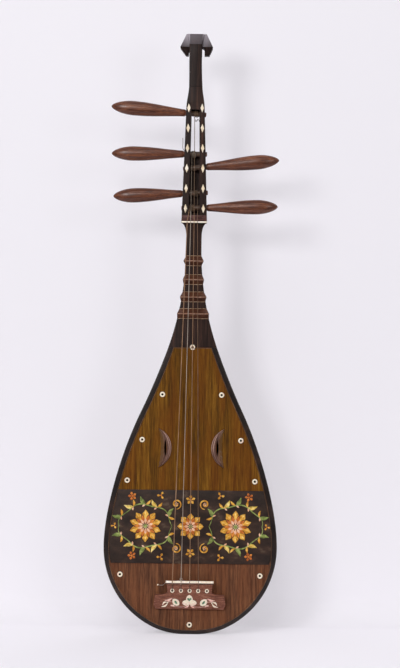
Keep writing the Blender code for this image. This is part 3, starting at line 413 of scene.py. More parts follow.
# %% Camera
# The photograph is 668 pixels high, and one of them shows 1.8 mm of the instrument
PHOTO_HEIGHT_PX = 668
MM_PER_PX = 1.798
VIEW_AZIMUTH = math.radians(0.3)
VIEW_ELEVATION = math.radians(0.5)
VIEW_ROLL = math.radians(-0.70)
VIEW_DISTANCE = 5.0
target = Vector((0.0130, face_y, 0.5406))
sight = Vector((
    math.sin(VIEW_AZIMUTH) * math.cos(VIEW_ELEVATION),
    -math.cos(VIEW_AZIMUTH) * math.cos(VIEW_ELEVATION),
    math.sin(VIEW_ELEVATION)))
camera_data = bpy.data.cameras.new("camera")
camera_data.sensor_width = 36.0
camera_data.lens = camera_data.sensor_width * VIEW_DISTANCE / (PHOTO_HEIGHT_PX * MM_PER_PX * MM)
camera = bpy.data.objects.new("camera", camera_data)
bpy.context.scene.collection.objects.link(camera)
camera.location = target + sight * VIEW_DISTANCE
turn = (-sight).to_track_quat("-Z", "Y").to_matrix().to_4x4()
roll = Vector((0.0, 0.0, 1.0))
camera.rotation_euler = (turn @ turn.Rotation(-VIEW_ROLL, 4, roll)).to_euler()
bpy.context.scene.camera = camera
bpy.context.scene.view_settings.view_transform = "Standard"
print("lens", round(camera_data.lens), "mm")

# %% Light
PAPER = "#f4f1f7"
LIGHT_ALL_ROUND = 0.40
LIGHT_BEHIND_CAMERA = 0.06
SHOWN_SKY = 0.94
world = bpy.data.worlds.new("studio")
bpy.context.scene.world = world
world.use_nodes = True
studio = world.node_tree
rays = add_node(studio, "ShaderNodeLightPath").outputs
shown = add_node(
    studio, "ShaderNodeMath", rays["Is Camera Ray"], rays["Is Transmission Ray"],
    operation="MAXIMUM")
direction = add_node(studio, "ShaderNodeTexCoord").outputs["Generated"]
sides = add_node(studio, "ShaderNodeSeparateXYZ", direction).outputs
dim_front = add_node(
    studio, "ShaderNodeMapRange", sides["Y"], -1.0, -0.3, LIGHT_BEHIND_CAMERA, LIGHT_ALL_ROUND)
strength = add_node(studio, "ShaderNodeMix", shown, dim_front, SHOWN_SKY, data_type="FLOAT")
connect(studio.nodes["Background"], Color=PAPER, Strength=strength)


def soft_lamp(name, where, size, watts, aim=(0.0, 0.0, 0.55)):
    data = bpy.data.lights.new(name, "AREA")
    data.shape = "RECTANGLE"
    data.size, data.size_y = size
    data.energy = watts
    lamp = bpy.data.objects.new(name, data)
    bpy.context.scene.collection.objects.link(lamp)
    lamp.location = where
    lamp.rotation_euler = (Vector(aim) - Vector(where)).to_track_quat("-Z", "Y").to_euler()
    return lamp


soft_lamp("key_lamp", (-1.45, -2.9, 1.6), (0.8, 0.8), 46.0)
soft_lamp("high_lamp", (-0.3, -3.1, 1.75), (0.5, 0.5), 15.0, aim=(0.0, 0.0, 0.75))
soft_lamp("fill_lamp", (1.9, -2.7, 1.3), (0.9, 0.9), 15.0)
soft_lamp("top_lamp", (-0.15, -1.25, 2.55), (1.3, 0.45), 9.0, aim=(0.0, 0.0, 1.05))
soft_lamp("back_lamp", (0.8, 2.6, 1.6), (1.6, 1.6), 30.0)
print("five soft lamps")

# %% Paper
PAPER_HALF_WIDTH = 1.6
FLOOR_FRONT = -2.2
COVE_START = 0.078
COVE_RADIUS = 0.060
COVE_STEPS = 12
WALL_TOP = 2.2
paper_bm = bmesh.new()
edge = [paper_bm.verts.new((-PAPER_HALF_WIDTH, y, 0.0)) for y in (FLOOR_FRONT, COVE_START)]
for step in range(1, COVE_STEPS + 1):
    angle = math.pi / 2 * step / COVE_STEPS
    y = COVE_START + COVE_RADIUS * math.sin(angle)
    z = COVE_RADIUS * (1 - math.cos(angle))
    edge.append(paper_bm.verts.new((-PAPER_HALF_WIDTH, y, z)))
edge.append(paper_bm.verts.new((-PAPER_HALF_WIDTH, COVE_START + COVE_RADIUS, WALL_TOP)))
lines = [paper_bm.edges.new(pair) for pair in zip(edge, edge[1:])]
grown = bmesh.ops.extrude_edge_only(paper_bm, edges=lines)
moved = [v for v in grown["geom"] if isinstance(v, bmesh.types.BMVert)]
bmesh.ops.translate(paper_bm, verts=moved, vec=(2 * PAPER_HALF_WIDTH, 0.0, 0.0))
bmesh.ops.recalc_face_normals(paper_bm, faces=paper_bm.faces)
floor_face = min(paper_bm.faces, key=lambda face: face.calc_center_median().y)
if floor_face.normal.z < 0:
    bmesh.ops.reverse_faces(paper_bm, faces=paper_bm.faces)
paper_mesh = bpy.data.meshes.new("paper")
paper_bm.to_mesh(paper_mesh)
paper_bm.free()
paper_mesh.shade_smooth()
paper = bpy.data.objects.new("paper", paper_mesh)
bpy.context.scene.collection.objects.link(paper)
paper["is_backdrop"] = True

# Far from the instrument the paper fades into the studio's own pale colour
material, tree, shader = new_material(
    "studio_paper", Base_Color=PAPER, Roughness=0.9, Specular_IOR_Level=0.1)
spot = add_node(tree, "ShaderNodeTexCoord").outputs["Object"]
flattened = add_node(
    tree, "ShaderNodeMapping", Vector=spot, Location=(0.0, 0.0, -0.35), Scale=(1.0, 1.0, 0.7))
far = add_node(tree, "ShaderNodeVectorMath", flattened, operation="LENGTH")
fading = add_node(tree, "ShaderNodeMapRange", far, 0.8, 1.2)
facing = add_node(tree, "ShaderNodeNewGeometry").outputs["Backfacing"]
faded = add_node(tree, "ShaderNodeMath", facing, fading, operation="MAXIMUM")
# Light for the instrument's back comes through the upright part of the paper
rays = add_node(tree, "ShaderNodeLightPath").outputs
high = add_node(tree, "ShaderNodeMapRange", object_axis(tree, "Z"), 0.01, 0.06)
let_through = add_node(tree, "ShaderNodeMath", high, rays["Is Shadow Ray"], operation="MULTIPLY")
share = add_node(tree, "ShaderNodeMath", faded, let_through, operation="MAXIMUM")
clear = add_node(tree, "ShaderNodeBsdfTransparent")
one_sided = add_node(tree, "ShaderNodeMixShader", share, shader, clear)
# To the camera the paper glows a little, which keeps the shadows on it as soft as haze
glow = add_node(tree, "ShaderNodeEmission", Color=PAPER, Strength=1.0)
solid = add_node(tree, "ShaderNodeMath", 1.0, share, operation="SUBTRACT")
seen = add_node(tree, "ShaderNodeMath", rays["Is Camera Ray"], solid, operation="MULTIPLY")
glow_share = add_node(tree, "ShaderNodeMath", seen, 0.5, operation="MULTIPLY")
hazy = add_node(tree, "ShaderNodeMixShader", glow_share, one_sided, glow)
connect(tree.nodes["Material Output"], Surface=hazy)
paper_mesh.materials.append(material)
print("paper faces", len(paper_mesh.polygons))

# %% [markdown]
# ## Three ways to make a piece
# Most pieces here are made in one of three ways. A carved form with a changing section is a
# grid carried onto its sections. A turned form is a profile spun with bmesh's spin. And where
# the plain solid already has the right shape, a copy of it is merged, its flat facets are
# dissolved and its edges are bevelled, because no real edge is as sharp as a knife.

# %% Helpers that finish a piece
SIDE_NAMES = ((-1, "left"), (1, "right"))


def shade(mesh, sharp):
    """Shade smooth, except over edges that bend by more than sharp degrees."""
    mesh.shade_smooth()
    mesh.set_sharp_from_angle(angle=math.radians(sharp))


def finish_piece(name, bm, materials, body="root", replaces=(), sharp=35, recalc=True):
    """Turn a bmesh into a shown piece that rides on a body and may stand for plain nodes."""
    if recalc:
        bmesh.ops.recalc_face_normals(bm, faces=bm.faces)
    mesh = bpy.data.meshes.new(name)
    bm.to_mesh(mesh)
    bm.free()
    shade(mesh, sharp)
    for material in materials if isinstance(materials, tuple) else (materials,):
        mesh.materials.append(material)
    piece = bpy.data.objects.new(name, mesh)
    bpy.context.scene.collection.objects.link(piece)
    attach(piece, body)
    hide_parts(*replaces)
    return piece


print("left and right are", SIDE_NAMES)

# %% Helpers that make and cut a mesh
def skin(rings, closed=True, caps=True, lay=None):
    """Carry a grid onto rings of points, one ring a row; closed rings join end to start.
    lay gives each row's second value in a UV map, whose first value runs round the ring."""
    columns = len(rings[0]) - (0 if closed else 1)
    rows = len(rings) - 1
    bm = bmesh.new()
    bmesh.ops.create_grid(bm, x_segments=columns, y_segments=rows, size=0.5)
    if lay:
        layer = bm.loops.layers.uv.new("lay")
        for loop in (loop for face in bm.faces for loop in face.loops):
            spot = loop.vert.co
            loop[layer].uv = (spot.x + 0.5, lay[round((spot.y + 0.5) * rows)])
    for vert in bm.verts:
        column = round((vert.co.x + 0.5) * columns)
        row = round((vert.co.y + 0.5) * rows)
        vert.co = rings[row][column % len(rings[row])]
    bmesh.ops.remove_doubles(bm, verts=bm.verts, dist=1e-6)
    if caps:
        open_edges = [edge for edge in bm.edges if edge.is_boundary]
        bmesh.ops.holes_fill(bm, edges=open_edges, sides=0)
    return bm


def spin_profile(profile, steps=32):
    """Turn a (radius, height) profile round the Z axis into a closed skin."""
    bm = bmesh.new()
    verts = [bm.verts.new((radius, 0.0, height)) for radius, height in profile]
    lines = [bm.edges.new(pair) for pair in zip(verts, verts[1:])]
    bmesh.ops.spin(
        bm, geom=verts + lines, cent=(0, 0, 0), axis=(0, 0, 1), angle=2 * math.pi,
        steps=steps, use_merge=True)
    bmesh.ops.remove_doubles(bm, verts=bm.verts, dist=1e-6)
    return bm


def bevel_edges(bm, width, segments=3, sharp=25):
    corners = [
        edge for edge in bm.edges
        if len(edge.link_faces) == 2 and edge.calc_face_angle() > math.radians(sharp)]
    bmesh.ops.bevel(
        bm, geom=corners, offset=width, offset_type="OFFSET", affect="EDGES",
        segments=segments, profile=0.5, material=-1, clamp_overlap=True)


def merged_copy(node):
    """A copy of a plain node's mesh, its triangles merged and its flat facets dissolved."""
    bm = bmesh.new()
    bm.from_mesh(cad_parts[node].data)
    bmesh.ops.remove_doubles(bm, verts=bm.verts, dist=1e-6)
    bmesh.ops.dissolve_limit(
        bm, angle_limit=math.radians(1.0), verts=bm.verts, edges=bm.edges)
    return bm


def cut_with(piece, cutters, operation="DIFFERENCE", sharp=None):
    """Cut a piece with bmesh cutters, and keep the result as its mesh."""
    for number, cutter_bm in enumerate(cutters):
        bmesh.ops.recalc_face_normals(cutter_bm, faces=cutter_bm.faces)
        mesh = bpy.data.meshes.new(f"{piece.name}_cutter_{number}")
        cutter_bm.to_mesh(mesh)
        cutter_bm.free()
        cutter = bpy.data.objects.new(mesh.name, mesh)
        bpy.context.scene.collection.objects.link(cutter)
        cut = piece.modifiers.new(cutter.name, "BOOLEAN")
        cut.operation = operation
        cut.solver = "EXACT"
        cut.object = cutter
    bpy.context.view_layer.update()
    graph = bpy.context.evaluated_depsgraph_get()
    result = bpy.data.meshes.new_from_object(piece.evaluated_get(graph))
    cutters = [modifier.object for modifier in piece.modifiers]
    piece.modifiers.clear()
    piece.data = result
    for cutter in cutters:
        bpy.data.objects.remove(cutter, do_unlink=True)
    if sharp:
        shade(piece.data, sharp)


print("mesh helpers ready")

# %% Helpers that draw and read lines
def bezier(start, pull_start, pull_end, end, steps):
    """A curve from start to end, drawn towards the two pull points on the way."""
    points = []
    for i in range(steps + 1):
        t = i / steps
        weights = ((1 - t) ** 3, 3 * t * (1 - t) ** 2, 3 * t * t * (1 - t), t ** 3)
        corners = (start, pull_start, pull_end, end)
        points.append(tuple(sum(w * c[k] for w, c in zip(weights, corners)) for k in (0, 1)))
    return points


def read_off(points, height):
    """Read a value off a list of (value, height) points that climb."""
    for (value_a, height_a), (value_b, height_b) in zip(points, points[1:]):
        if height <= height_b and height_b > height_a:
            share = max(0.0, (height - height_a) / (height_b - height_a))
            return value_a + (value_b - value_a) * share
    return points[-1][0]


print("halfway up from 0 to 10 reads", read_off([(0.0, 0.0), (10.0, 1.0)], 0.5))

# %% [markdown]
# ## The outline
# Everything on the front follows one curve: a round lower end, sides that run in almost
# straight, and the slim neck that flares under the nut. The instrument stands on a short flat
# at its tail, and the curve leaves it gently, so that the end still looks round. Much the same
# sizes gave the plain solids their outline; here the curve is read at finer steps.

# %% The outline of the front
half_width_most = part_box("back_bowl")[1].x
LOW_RADIUS = 0.1585
LOW_RISE = 0.1560
TAIL_FLAT_HALF = 0.010
EASED_UNTIL = 0.055
SIDE_POINT = (0.0901, 0.403)
SIDE_SLOPE = 0.48
BOARD_TOP_HALF = 0.0438
BOARD_TOP_SLOPE = 0.35
SIDE_PULL = 0.285
WAIST_HALF = 0.0138
WAIST_LOW_DROP = 0.048
WAIST_HIGH_DROP = 0.026
NECK_TOP_HALF = 0.0228
ROUND_STEPS = 36
SIDE_STEPS = 24
THROAT_STEPS = 10
FLARE_STEPS = 12


def toward(start, slope, rise):
    return (start[0] - slope * rise, start[1] + rise)


def side_outline():
    """Right edge of the front, from the middle of the tail to the top of the neck."""
    flat_angle = math.asin(TAIL_FLAT_HALF / half_width_most)
    centre = LOW_RISE
    eased_rise = centre - LOW_RADIUS * math.cos(math.asin(EASED_UNTIL / half_width_most))
    points = [(0.0, 0.0)]
    for i in range(ROUND_STEPS):
        angle = flat_angle + (math.pi / 2 - flat_angle) * i / ROUND_STEPS
        x = half_width_most * math.sin(angle)
        z = centre - LOW_RADIUS * math.cos(angle)
        if x < EASED_UNTIL:
            z = eased_rise * ((x - TAIL_FLAT_HALF) / (EASED_UNTIL - TAIL_FLAT_HALF)) ** 2
        points.append((x, z))
    wide = (half_width_most, centre)
    pull = (SIDE_POINT[1] - centre) * SIDE_PULL
    points += bezier(
        wide, (wide[0], wide[1] + pull), toward(SIDE_POINT, SIDE_SLOPE, -pull), SIDE_POINT,
        SIDE_STEPS)
    top = (BOARD_TOP_HALF, board_top)
    pull = (board_top - SIDE_POINT[1]) * SIDE_PULL
    points += bezier(
        SIDE_POINT, toward(SIDE_POINT, SIDE_SLOPE, pull),
        toward(top, BOARD_TOP_SLOPE, -pull), top, THROAT_STEPS)[1:]
    waist = (WAIST_HALF, neck_top - WAIST_LOW_DROP)
    pull = (waist[1] - board_top) * SIDE_PULL
    points += bezier(
        top, toward(top, BOARD_TOP_SLOPE, pull), (waist[0], waist[1] - 1.3 * pull), waist,
        SIDE_STEPS)[1:]
    flare = (WAIST_HALF, neck_top - WAIST_HIGH_DROP)
    knee = (flare[0], flare[1] + WAIST_HIGH_DROP * 0.6)
    nut_pull = (NECK_TOP_HALF - WAIST_HIGH_DROP * 0.2, neck_top - WAIST_HIGH_DROP * 0.05)
    points += bezier(flare, knee, nut_pull, (NECK_TOP_HALF, neck_top), FLARE_STEPS)
    return points


SIDE = side_outline()


def inset_line(points, inset):
    """Move a line inwards by the same distance everywhere."""
    moved = []
    last = len(points) - 1
    for i, (x, z) in enumerate(points):
        before = points[max(i - 1, 0)]
        after = points[min(i + 1, last)]
        along = Vector((after[0] - before[0], after[1] - before[1])).normalized()
        if i == 0:
            along = Vector((1.0, 0.0))
        moved.append((x - along[1] * inset, z + along[0] * inset))
    return moved


def half_width(height, inset=0.0):
    return read_off(inset_line(SIDE, inset), height)


print("outline points", len(SIDE))

# %% [markdown]
# ## The carved back
# The back is hollowed from one board: its side walls stand square to the soundboard, then
# roll over into a dome that is deepest behind the bridge. We carry a grid onto the sections
# and give it a wall with Solidify, so that the inside shows through the sound holes.

# %% Sections of the body and neck
bowl_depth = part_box("back_bowl")[1].y - face_y
BOWL_FLAT_CUT = 0.0025
DEEP_LOW, DEEP_HIGH = 0.130, 0.235
TAIL_DEPTH = 0.046
HEEL_DEPTH = 0.038
NECK_DEPTH = 0.027
BOX_LOW_DEPTH = 0.028
SIDE_WALL = 0.026
NECK_WALL = 0.010
HEEL_LENGTH = 0.064
DOME_POWER = 2.6
BACK_WALL = 0.007
ACROSS_STEPS = 44
NECK_ACROSS_STEPS = 28


def wall_depth(height):
    share = min(max((height - board_top + HEEL_LENGTH) / (2 * HEEL_LENGTH), 0.0), 1.0)
    return SIDE_WALL + (NECK_WALL - SIDE_WALL) * share * share * (3 - 2 * share)


def back_line():
    """Depth of the back's middle line, as (depth, height) points."""
    deep = bowl_depth + BOWL_FLAT_CUT
    points = bezier(
        (TAIL_DEPTH, 0.0), (deep, DEEP_LOW * 0.16), (deep, DEEP_LOW * 0.5), (deep, DEEP_LOW), 24)
    drop = board_top - DEEP_HIGH
    heel = (HEEL_DEPTH, board_top)
    points += bezier(
        (deep, DEEP_HIGH), (deep, DEEP_HIGH + drop * 0.40),
        (HEEL_DEPTH + drop * 0.10, board_top - drop * 0.30), heel, 24)
    neck_start = board_top + HEEL_LENGTH
    points += bezier(
        heel, (HEEL_DEPTH - 0.006, board_top + HEEL_LENGTH * 0.4),
        (NECK_DEPTH, neck_start - HEEL_LENGTH * 0.4), (NECK_DEPTH, neck_start), 12)[1:]
    points.append((NECK_DEPTH, neck_top - WAIST_HIGH_DROP))
    points.append((BOX_LOW_DEPTH, neck_top))
    return points


BACK = back_line()


def dome(height, steps):
    """The rounded back at one height, from right to left, as (x, depth) points."""
    width = half_width(height)
    wall = wall_depth(height)
    deep = read_off(BACK, height) - wall
    points = []
    for i in range(steps + 1):
        angle = math.pi * i / steps
        across = math.copysign(abs(math.cos(angle)) ** (2 / DOME_POWER), math.cos(angle))
        down = abs(math.sin(angle)) ** (2 / DOME_POWER)
        points.append((width * across, wall + deep * down))
    return points


def body_section(height, front_depth):
    """Half loop across the body at one height: front edge, wall and rounded back."""
    width = half_width(height)
    loop = [(width, front_depth), *dome(height, ACROSS_STEPS), (-width, front_depth)]
    return [place(x, min(depth, bowl_depth), height) for x, depth in loop]


print("the back is", round(bowl_depth * 1000, 1), "mm deep")

# %% The back shell
board_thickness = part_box("soundboard_upper")[1].y - face_y
AIR = 0.0003
shell_heights = [z for x, z in SIDE[1:] if z < board_top - 0.001] + [board_top]
rows = [body_section(z, board_thickness + AIR) for z in shell_heights]
back_bm = skin(rows, closed=False, caps=False)
tail_edges = [edge for edge in back_bm.edges if all(v.co.z < 1e-6 for v in edge.verts)]
tail_verts = [v for v in back_bm.verts if v.co.z < 1e-6]
tail_front = [v for v in tail_verts if v.co.y < face_y + board_thickness + 0.001]
tail_edges.append(back_bm.edges.new(tail_front))
bmesh.ops.contextual_create(back_bm, geom=tail_edges)
bmesh.ops.recalc_face_normals(back_bm, faces=back_bm.faces)
deepest_face = max(back_bm.faces, key=lambda face: face.calc_center_median().y)
if deepest_face.normal.y < 0:
    bmesh.ops.reverse_faces(back_bm, faces=back_bm.faces)
back_shell = finish_piece(
    "back_shell", back_bm, BACK_WOOD, replaces=("back_bowl",), sharp=50,
    recalc=False)
wall = back_shell.modifiers.new("wall", "SOLIDIFY")
wall.thickness = BACK_WALL
wall.offset = -1.0
print("back shell faces", len(back_shell.data.polygons))

# %% [markdown]
# ## Neck
# One piece of dark rosewood, flat in front and round behind, with a shoulder that carries on
# the outline of the body. It is skinned like the back, but its sections are closed, and its
# lower end is stepped in to make the tenon that goes into the body.

# %% The neck
NECK_EDGE_RADIUS = 0.0012
TENON_SHOULDER = 0.009
TENON_LENGTH = 0.036


def round_corner(x, depth, radius, steps, turn):
    """Quarter round at a front corner, as (x, depth); turn is 1 on the right side."""
    points = []
    for i in range(steps + 1):
        angle = math.pi / 2 * i / steps
        points.append((
            x - turn * radius * (1 - math.cos(angle)), depth + radius * (1 - math.sin(angle))))
    return points


def neck_section(height):
    """Closed loop across the neck at one height: the round back and the eased front."""
    width = half_width(height)
    loop = dome(height, NECK_ACROSS_STEPS)
    loop += round_corner(-width, 0.0, NECK_EDGE_RADIUS, 3, -1)
    loop += reversed(round_corner(width, 0.0, NECK_EDGE_RADIUS, 3, 1))
    return [place(x, depth, height) for x, depth in loop]


neck_foot = board_top + AIR
between = [z for x, z in SIDE if neck_foot + 0.001 < z < neck_top - 0.001]
neck_bm = skin([neck_section(z) for z in (neck_foot, *between, neck_top)])
foot = [face for face in neck_bm.faces if all(abs(v.co.z - neck_foot) < 1e-6 for v in face.verts)]
bmesh.ops.inset_region(neck_bm, faces=foot, thickness=TENON_SHOULDER, use_even_offset=True)
tenon = bmesh.ops.extrude_discrete_faces(neck_bm, faces=foot)["faces"]
tenon_verts = list({v for face in tenon for v in face.verts})
bmesh.ops.translate(neck_bm, verts=tenon_verts, vec=(0.0, 0.0, -TENON_LENGTH))
neck_body = finish_piece(
    "neck_body", neck_bm, DARK_WOOD, replaces=("neck",), sharp=40)


def disc(x, height, radius, front, back, steps=32):
    """A round cutter or plug that lies along the depth."""
    bm = bmesh.new()
    bmesh.ops.create_cone(
        bm, cap_ends=True, segments=steps, radius1=radius, radius2=radius, depth=back - front)
    bmesh.ops.rotate(bm, verts=bm.verts, matrix=QUARTER)
    bmesh.ops.translate(bm, verts=bm.verts, vec=place(x, (front + back) / 2, height))
    return bm


# A quarter turn that lays the Z axis along the depth, pointing to the front
QUARTER = Vector((0.0, 0.0, 1.0)).rotation_difference(Vector((0.0, -1.0, 0.0))).to_matrix()
ring_low, ring_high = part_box("ring_1")
ring_radius = (ring_high.x - ring_low.x) / 2
ring_depth = ring_high.y - ring_low.y
top_ring_height = (ring_low.z + ring_high.z) / 2
cut_with(neck_body, [disc(0.0, top_ring_height, ring_radius + AIR, -0.01, ring_depth + AIR)])
print("neck faces", len(neck_body.data.polygons))

# %% [markdown]
# ## Binding
# A black band covers the joint of board and back. Its outer edge is rounded where it would
# catch the player's arm, and a thin brown line of boxwood runs inside it. Below the guard the
# band was filed a little slimmer, and a narrow strip of the board shows beside it. All three
# are swept: a small closed section is set square to the outline at every point of it.

# %% Binding and the thin line inside it
SLIMMER_BY = 0.0018
guard_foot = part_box("plectrum_guard")[0].z
BINDING_WIDTH = 0.010
LINE_WIDTH = 0.0011
EDGE_ROUND = 0.0016


def slimmer(height):
    """How much slimmer the band is below the guard."""
    return SLIMMER_BY * min(max((guard_foot + 0.004 - height) / 0.008, 0.0), 1.0)


def sweep_round_body(section, top=board_top):
    """Sweep an (inset, depth) section along the edge, from the right top round to the left.
    Insets of more than a few millimetres shrink where the band is slimmer."""
    right = [p for p in SIDE if p[1] < top - 1e-6] + [(half_width(top), top)]
    path = list(reversed(right)) + [(-x, z) for x, z in right[1:]]
    rings = []
    last = len(path) - 1
    for i, (x, z) in enumerate(path):
        before = path[max(i - 1, 0)]
        after = path[min(i + 1, last)]
        along = Vector((after[0] - before[0], after[1] - before[1])).normalized()
        inward = Vector((along[1], -along[0]))
        if i in (0, last):
            inward = Vector((1.0 / inward.x, 0.0))
        ring = []
        for inset, depth in section:
            reach = inset - (slimmer(z) if 0.005 < inset < BINDING_WIDTH else 0.0)
            ring.append(place(x + inward.x * reach, depth, z + inward.y * reach))
        rings.append(ring)
    return skin(rings)


horn_width = BINDING_WIDTH - LINE_WIDTH - 0.0001
section = [(0.0, board_thickness)]
for i in range(5):
    angle = math.pi / 2 * i / 4
    section.append((EDGE_ROUND * (1 - math.cos(angle)), EDGE_ROUND * (1 - math.sin(angle))))
section += [(horn_width, -0.00003), (horn_width, board_thickness)]
finish_piece(
    "binding_band", sweep_round_body(section), HORN, replaces=("edge_binding",))
line_end = BINDING_WIDTH - 0.00001
section = [
    (line_end - LINE_WIDTH, board_thickness), (line_end - LINE_WIDTH, -0.00003),
    (line_end, -0.00003), (line_end, board_thickness)]
finish_piece("inner_line", sweep_round_body(section), PURFLING)
margin_end = half_width_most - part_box("soundboard_lower")[1].x - 0.00004
section = [
    (line_end, board_thickness), (line_end, -0.00002), (margin_end, -0.00002),
    (margin_end, board_thickness)]
finish_piece(
    "board_margin", sweep_round_body(section, guard_foot + 0.003), RED_WOOD)
print("margin from", round(line_end * 1000, 2), "to", round(margin_end * 1000, 2), "mm")
print("binding swept")

# %% [markdown]
# ## Soundboard
# The two boards are flat plates with the right holes already, so the plain solids stay and
# only get their wood, as do the bars inside and the bone lozenges.

# %% Materials for the plain solids that stay
def dress_node(node, material):
    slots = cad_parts[node].data.materials
    slots.clear()
    slots.append(material)


dress_node("soundboard_upper", GOLD_WOOD)
dress_node("soundboard_lower", RED_WOOD)
for number in (1, 2, 3):
    dress_node(f"cross_brace_{number}", INNER_WOOD)
dress_node("sound_post", INNER_WOOD)
for side, word in SIDE_NAMES:
    for number in range(1, 7):
        dress_node(f"lozenge_{word}_{number}", BONE)
print("plain nodes dressed")

# %% [markdown]
# ## Peg box
# The box tapers up from the nut and narrows in a smooth throat below the head. It is skinned
# from rounded sections and then cut as a maker would: the slot, the window through its back,
# the tapered peg holes and the beds of the inlays.

# %% Sections and cutters of the peg box
box_length = box_top - neck_top
BOX_WIDTHS = (
    (0.0231, 0.0), (0.0163, box_length - 0.031), (0.0129, box_length - 0.010),
    (0.0118, box_length))
BOX_DEPTHS = (
    (0.028, 0.0), (0.034, 0.031), (0.031, box_length - 0.031), (0.028, box_length - 0.010),
    (0.028, box_length))
SLOT_LOW, SLOT_HIGH, SLOT_DEPTH = 0.0155, 0.2040, 0.027
SLOT_WIDTHS = ((0.0100, SLOT_LOW), (0.0075, SLOT_HIGH))
WINDOW_LOW, WINDOW_HIGH, WINDOW_LEDGE = 0.1260, 0.1960, 0.0006
# Name, side of its handle, height above the nut, tilt in degrees and length of the handle
PEGS = (
    ("peg_1", -1, 0.1967, 4.7, 0.1352),
    ("peg_2", -1, 0.1242, 0.0, 0.131),
    ("peg_3", -1, 0.0540, -2.7, 0.125),
    ("peg_4", 1, 0.0995, 5.8, 0.1325),
    ("peg_5", 1, 0.0273, 1.5, 0.128),
)
PEG_AXIS_DEPTH = 0.013
SHAFT_MIDDLE_RADIUS = 0.0048
SHAFT_TAPER = 0.022
BOX_EDGE_RADIUS = 0.0010
BOX_BACK_RADIUS = 0.0085
LOZENGE_BED = 0.0013
PEG_HOLE_REACH = 0.030
BOX_STEPS = 56


def smooth_between(points, height):
    """Like read_off, but the corners between the straight stretches are eased."""
    reach = 0.006
    near = [read_off(points, min(max(height + reach * k, 0.0), points[-1][1])) for k in (-1, 0, 1)]
    return (near[0] + 2 * near[1] + near[2]) / 4


def box_half_width(height):
    return smooth_between(BOX_WIDTHS, height)


def box_ring(height):
    """Section with small round corners in front and large ones behind."""
    width = box_half_width(height)
    depth = smooth_between(BOX_DEPTHS, height)
    loop = round_corner(-width, 0.0, BOX_EDGE_RADIUS, 3, -1)
    loop += reversed(round_corner(width, 0.0, BOX_EDGE_RADIUS, 3, 1))
    behind = []
    for i in range(7):
        angle = math.pi / 2 * i / 6
        behind.append((
            width - BOX_BACK_RADIUS * (1 - math.cos(angle)),
            depth - BOX_BACK_RADIUS * (1 - math.sin(angle))))
    loop += behind + [(-x, d) for x, d in reversed(behind)]
    return [place(x, d, neck_top + height) for x, d in loop]


def prism(outline, front, back):
    """Extrude an (x, height) outline between two depths."""
    bm = bmesh.new()
    face = bm.faces.new([bm.verts.new(place(x, front, z)) for x, z in outline])
    grown = bmesh.ops.extrude_face_region(bm, geom=[face])
    verts = [v for v in grown["geom"] if isinstance(v, bmesh.types.BMVert)]
    bmesh.ops.translate(bm, verts=verts, vec=(0.0, back - front, 0.0))
    return bm


def slot_cutter(low, high, front, back, ledge=0.0):
    low_half = read_off(SLOT_WIDTHS, low) - ledge
    high_half = read_off(SLOT_WIDTHS, high) - ledge
    z_low, z_high = neck_top + low, neck_top + high
    outline = [(-low_half, z_low), (low_half, z_low), (high_half, z_high), (-high_half, z_high)]
    return prism(outline, front, back)


def peg_matrix(side, height, tilt):
    """Carry the local Z axis onto a peg's axis, towards its handle."""
    angle = math.radians(tilt)
    axis = Vector((side * math.cos(angle), 0.0, math.sin(angle)))
    turn = Vector((0.0, 0.0, 1.0)).rotation_difference(axis).to_matrix().to_4x4()
    turn.translation = place(0.0, PEG_AXIS_DEPTH, neck_top + height)
    return turn


def shaft_radius(along):
    """The shaft tapers from its handle towards its far end."""
    return SHAFT_MIDDLE_RADIUS + SHAFT_TAPER * along


print("peg box", round(box_length * 1000, 1), "mm long")

# %% The peg box
box_heights = [AIR + (box_length - AIR) * i / BOX_STEPS for i in range(BOX_STEPS + 1)]
box_bm = skin([box_ring(z) for z in box_heights])
peg_box_body = finish_piece(
    "peg_box_body", box_bm, DARK_WOOD, replaces=("peg_box",), sharp=40)
cutters = [
    slot_cutter(SLOT_LOW, SLOT_HIGH, -0.01, SLOT_DEPTH),
    slot_cutter(WINDOW_LOW, WINDOW_HIGH, SLOT_DEPTH - 0.005, 0.05, WINDOW_LEDGE)]
for name, side, height, tilt, handle_length in PEGS:
    hole = bmesh.new()
    bmesh.ops.create_cone(
        hole, cap_ends=True, segments=32, radius1=shaft_radius(-PEG_HOLE_REACH) + AIR,
        radius2=shaft_radius(PEG_HOLE_REACH) + AIR, depth=2 * PEG_HOLE_REACH,
        matrix=peg_matrix(side, height, tilt))
    cutters.append(hole)
for side, word in SIDE_NAMES:
    for number in range(1, 7):
        low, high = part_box(f"lozenge_{word}_{number}")
        x, z = (low.x + high.x) / 2, (low.z + high.z) / 2
        wide = (high.x - low.x) / 2 + AIR
        long = (high.z - low.z) / 2 + 2 * AIR
        outline = [(x + wide, z), (x, z + long), (x - wide, z), (x, z - long)]
        cutters.append(prism(outline, -0.01, LOZENGE_BED))
cut_with(peg_box_body, cutters, sharp=35)
print("peg box faces", len(peg_box_body.data.polygons))

# %% [markdown]
# ## Head
# The carved head is a strip that narrows and flares again, and whose top is bent back; behind
# it sits a block cut to two sloping wings, parted from the strip low down by a saw cut. The
# strip and the block are each skinned from a few sections, joined with a Boolean and sawn.
# A pale grey is painted over the facets that look up: a painted sheen of the light from above.
# It is mixed in by the direction of the surface, by the side and, on the strip, by the height.

# %% Painted sheen on the facets
HEAD_WOOD = make_wood(
    "carved_head_rosewood",
    ((0.10, "#150b08"), (0.45, "#231613"), (0.72, "#31211c"), (0.95, "#432d25")),
    (7.0, 160.0), (0.9, 40.0), 0.6, rough=0.50, coat=0.08, gloss=0.30, shine=0.12)


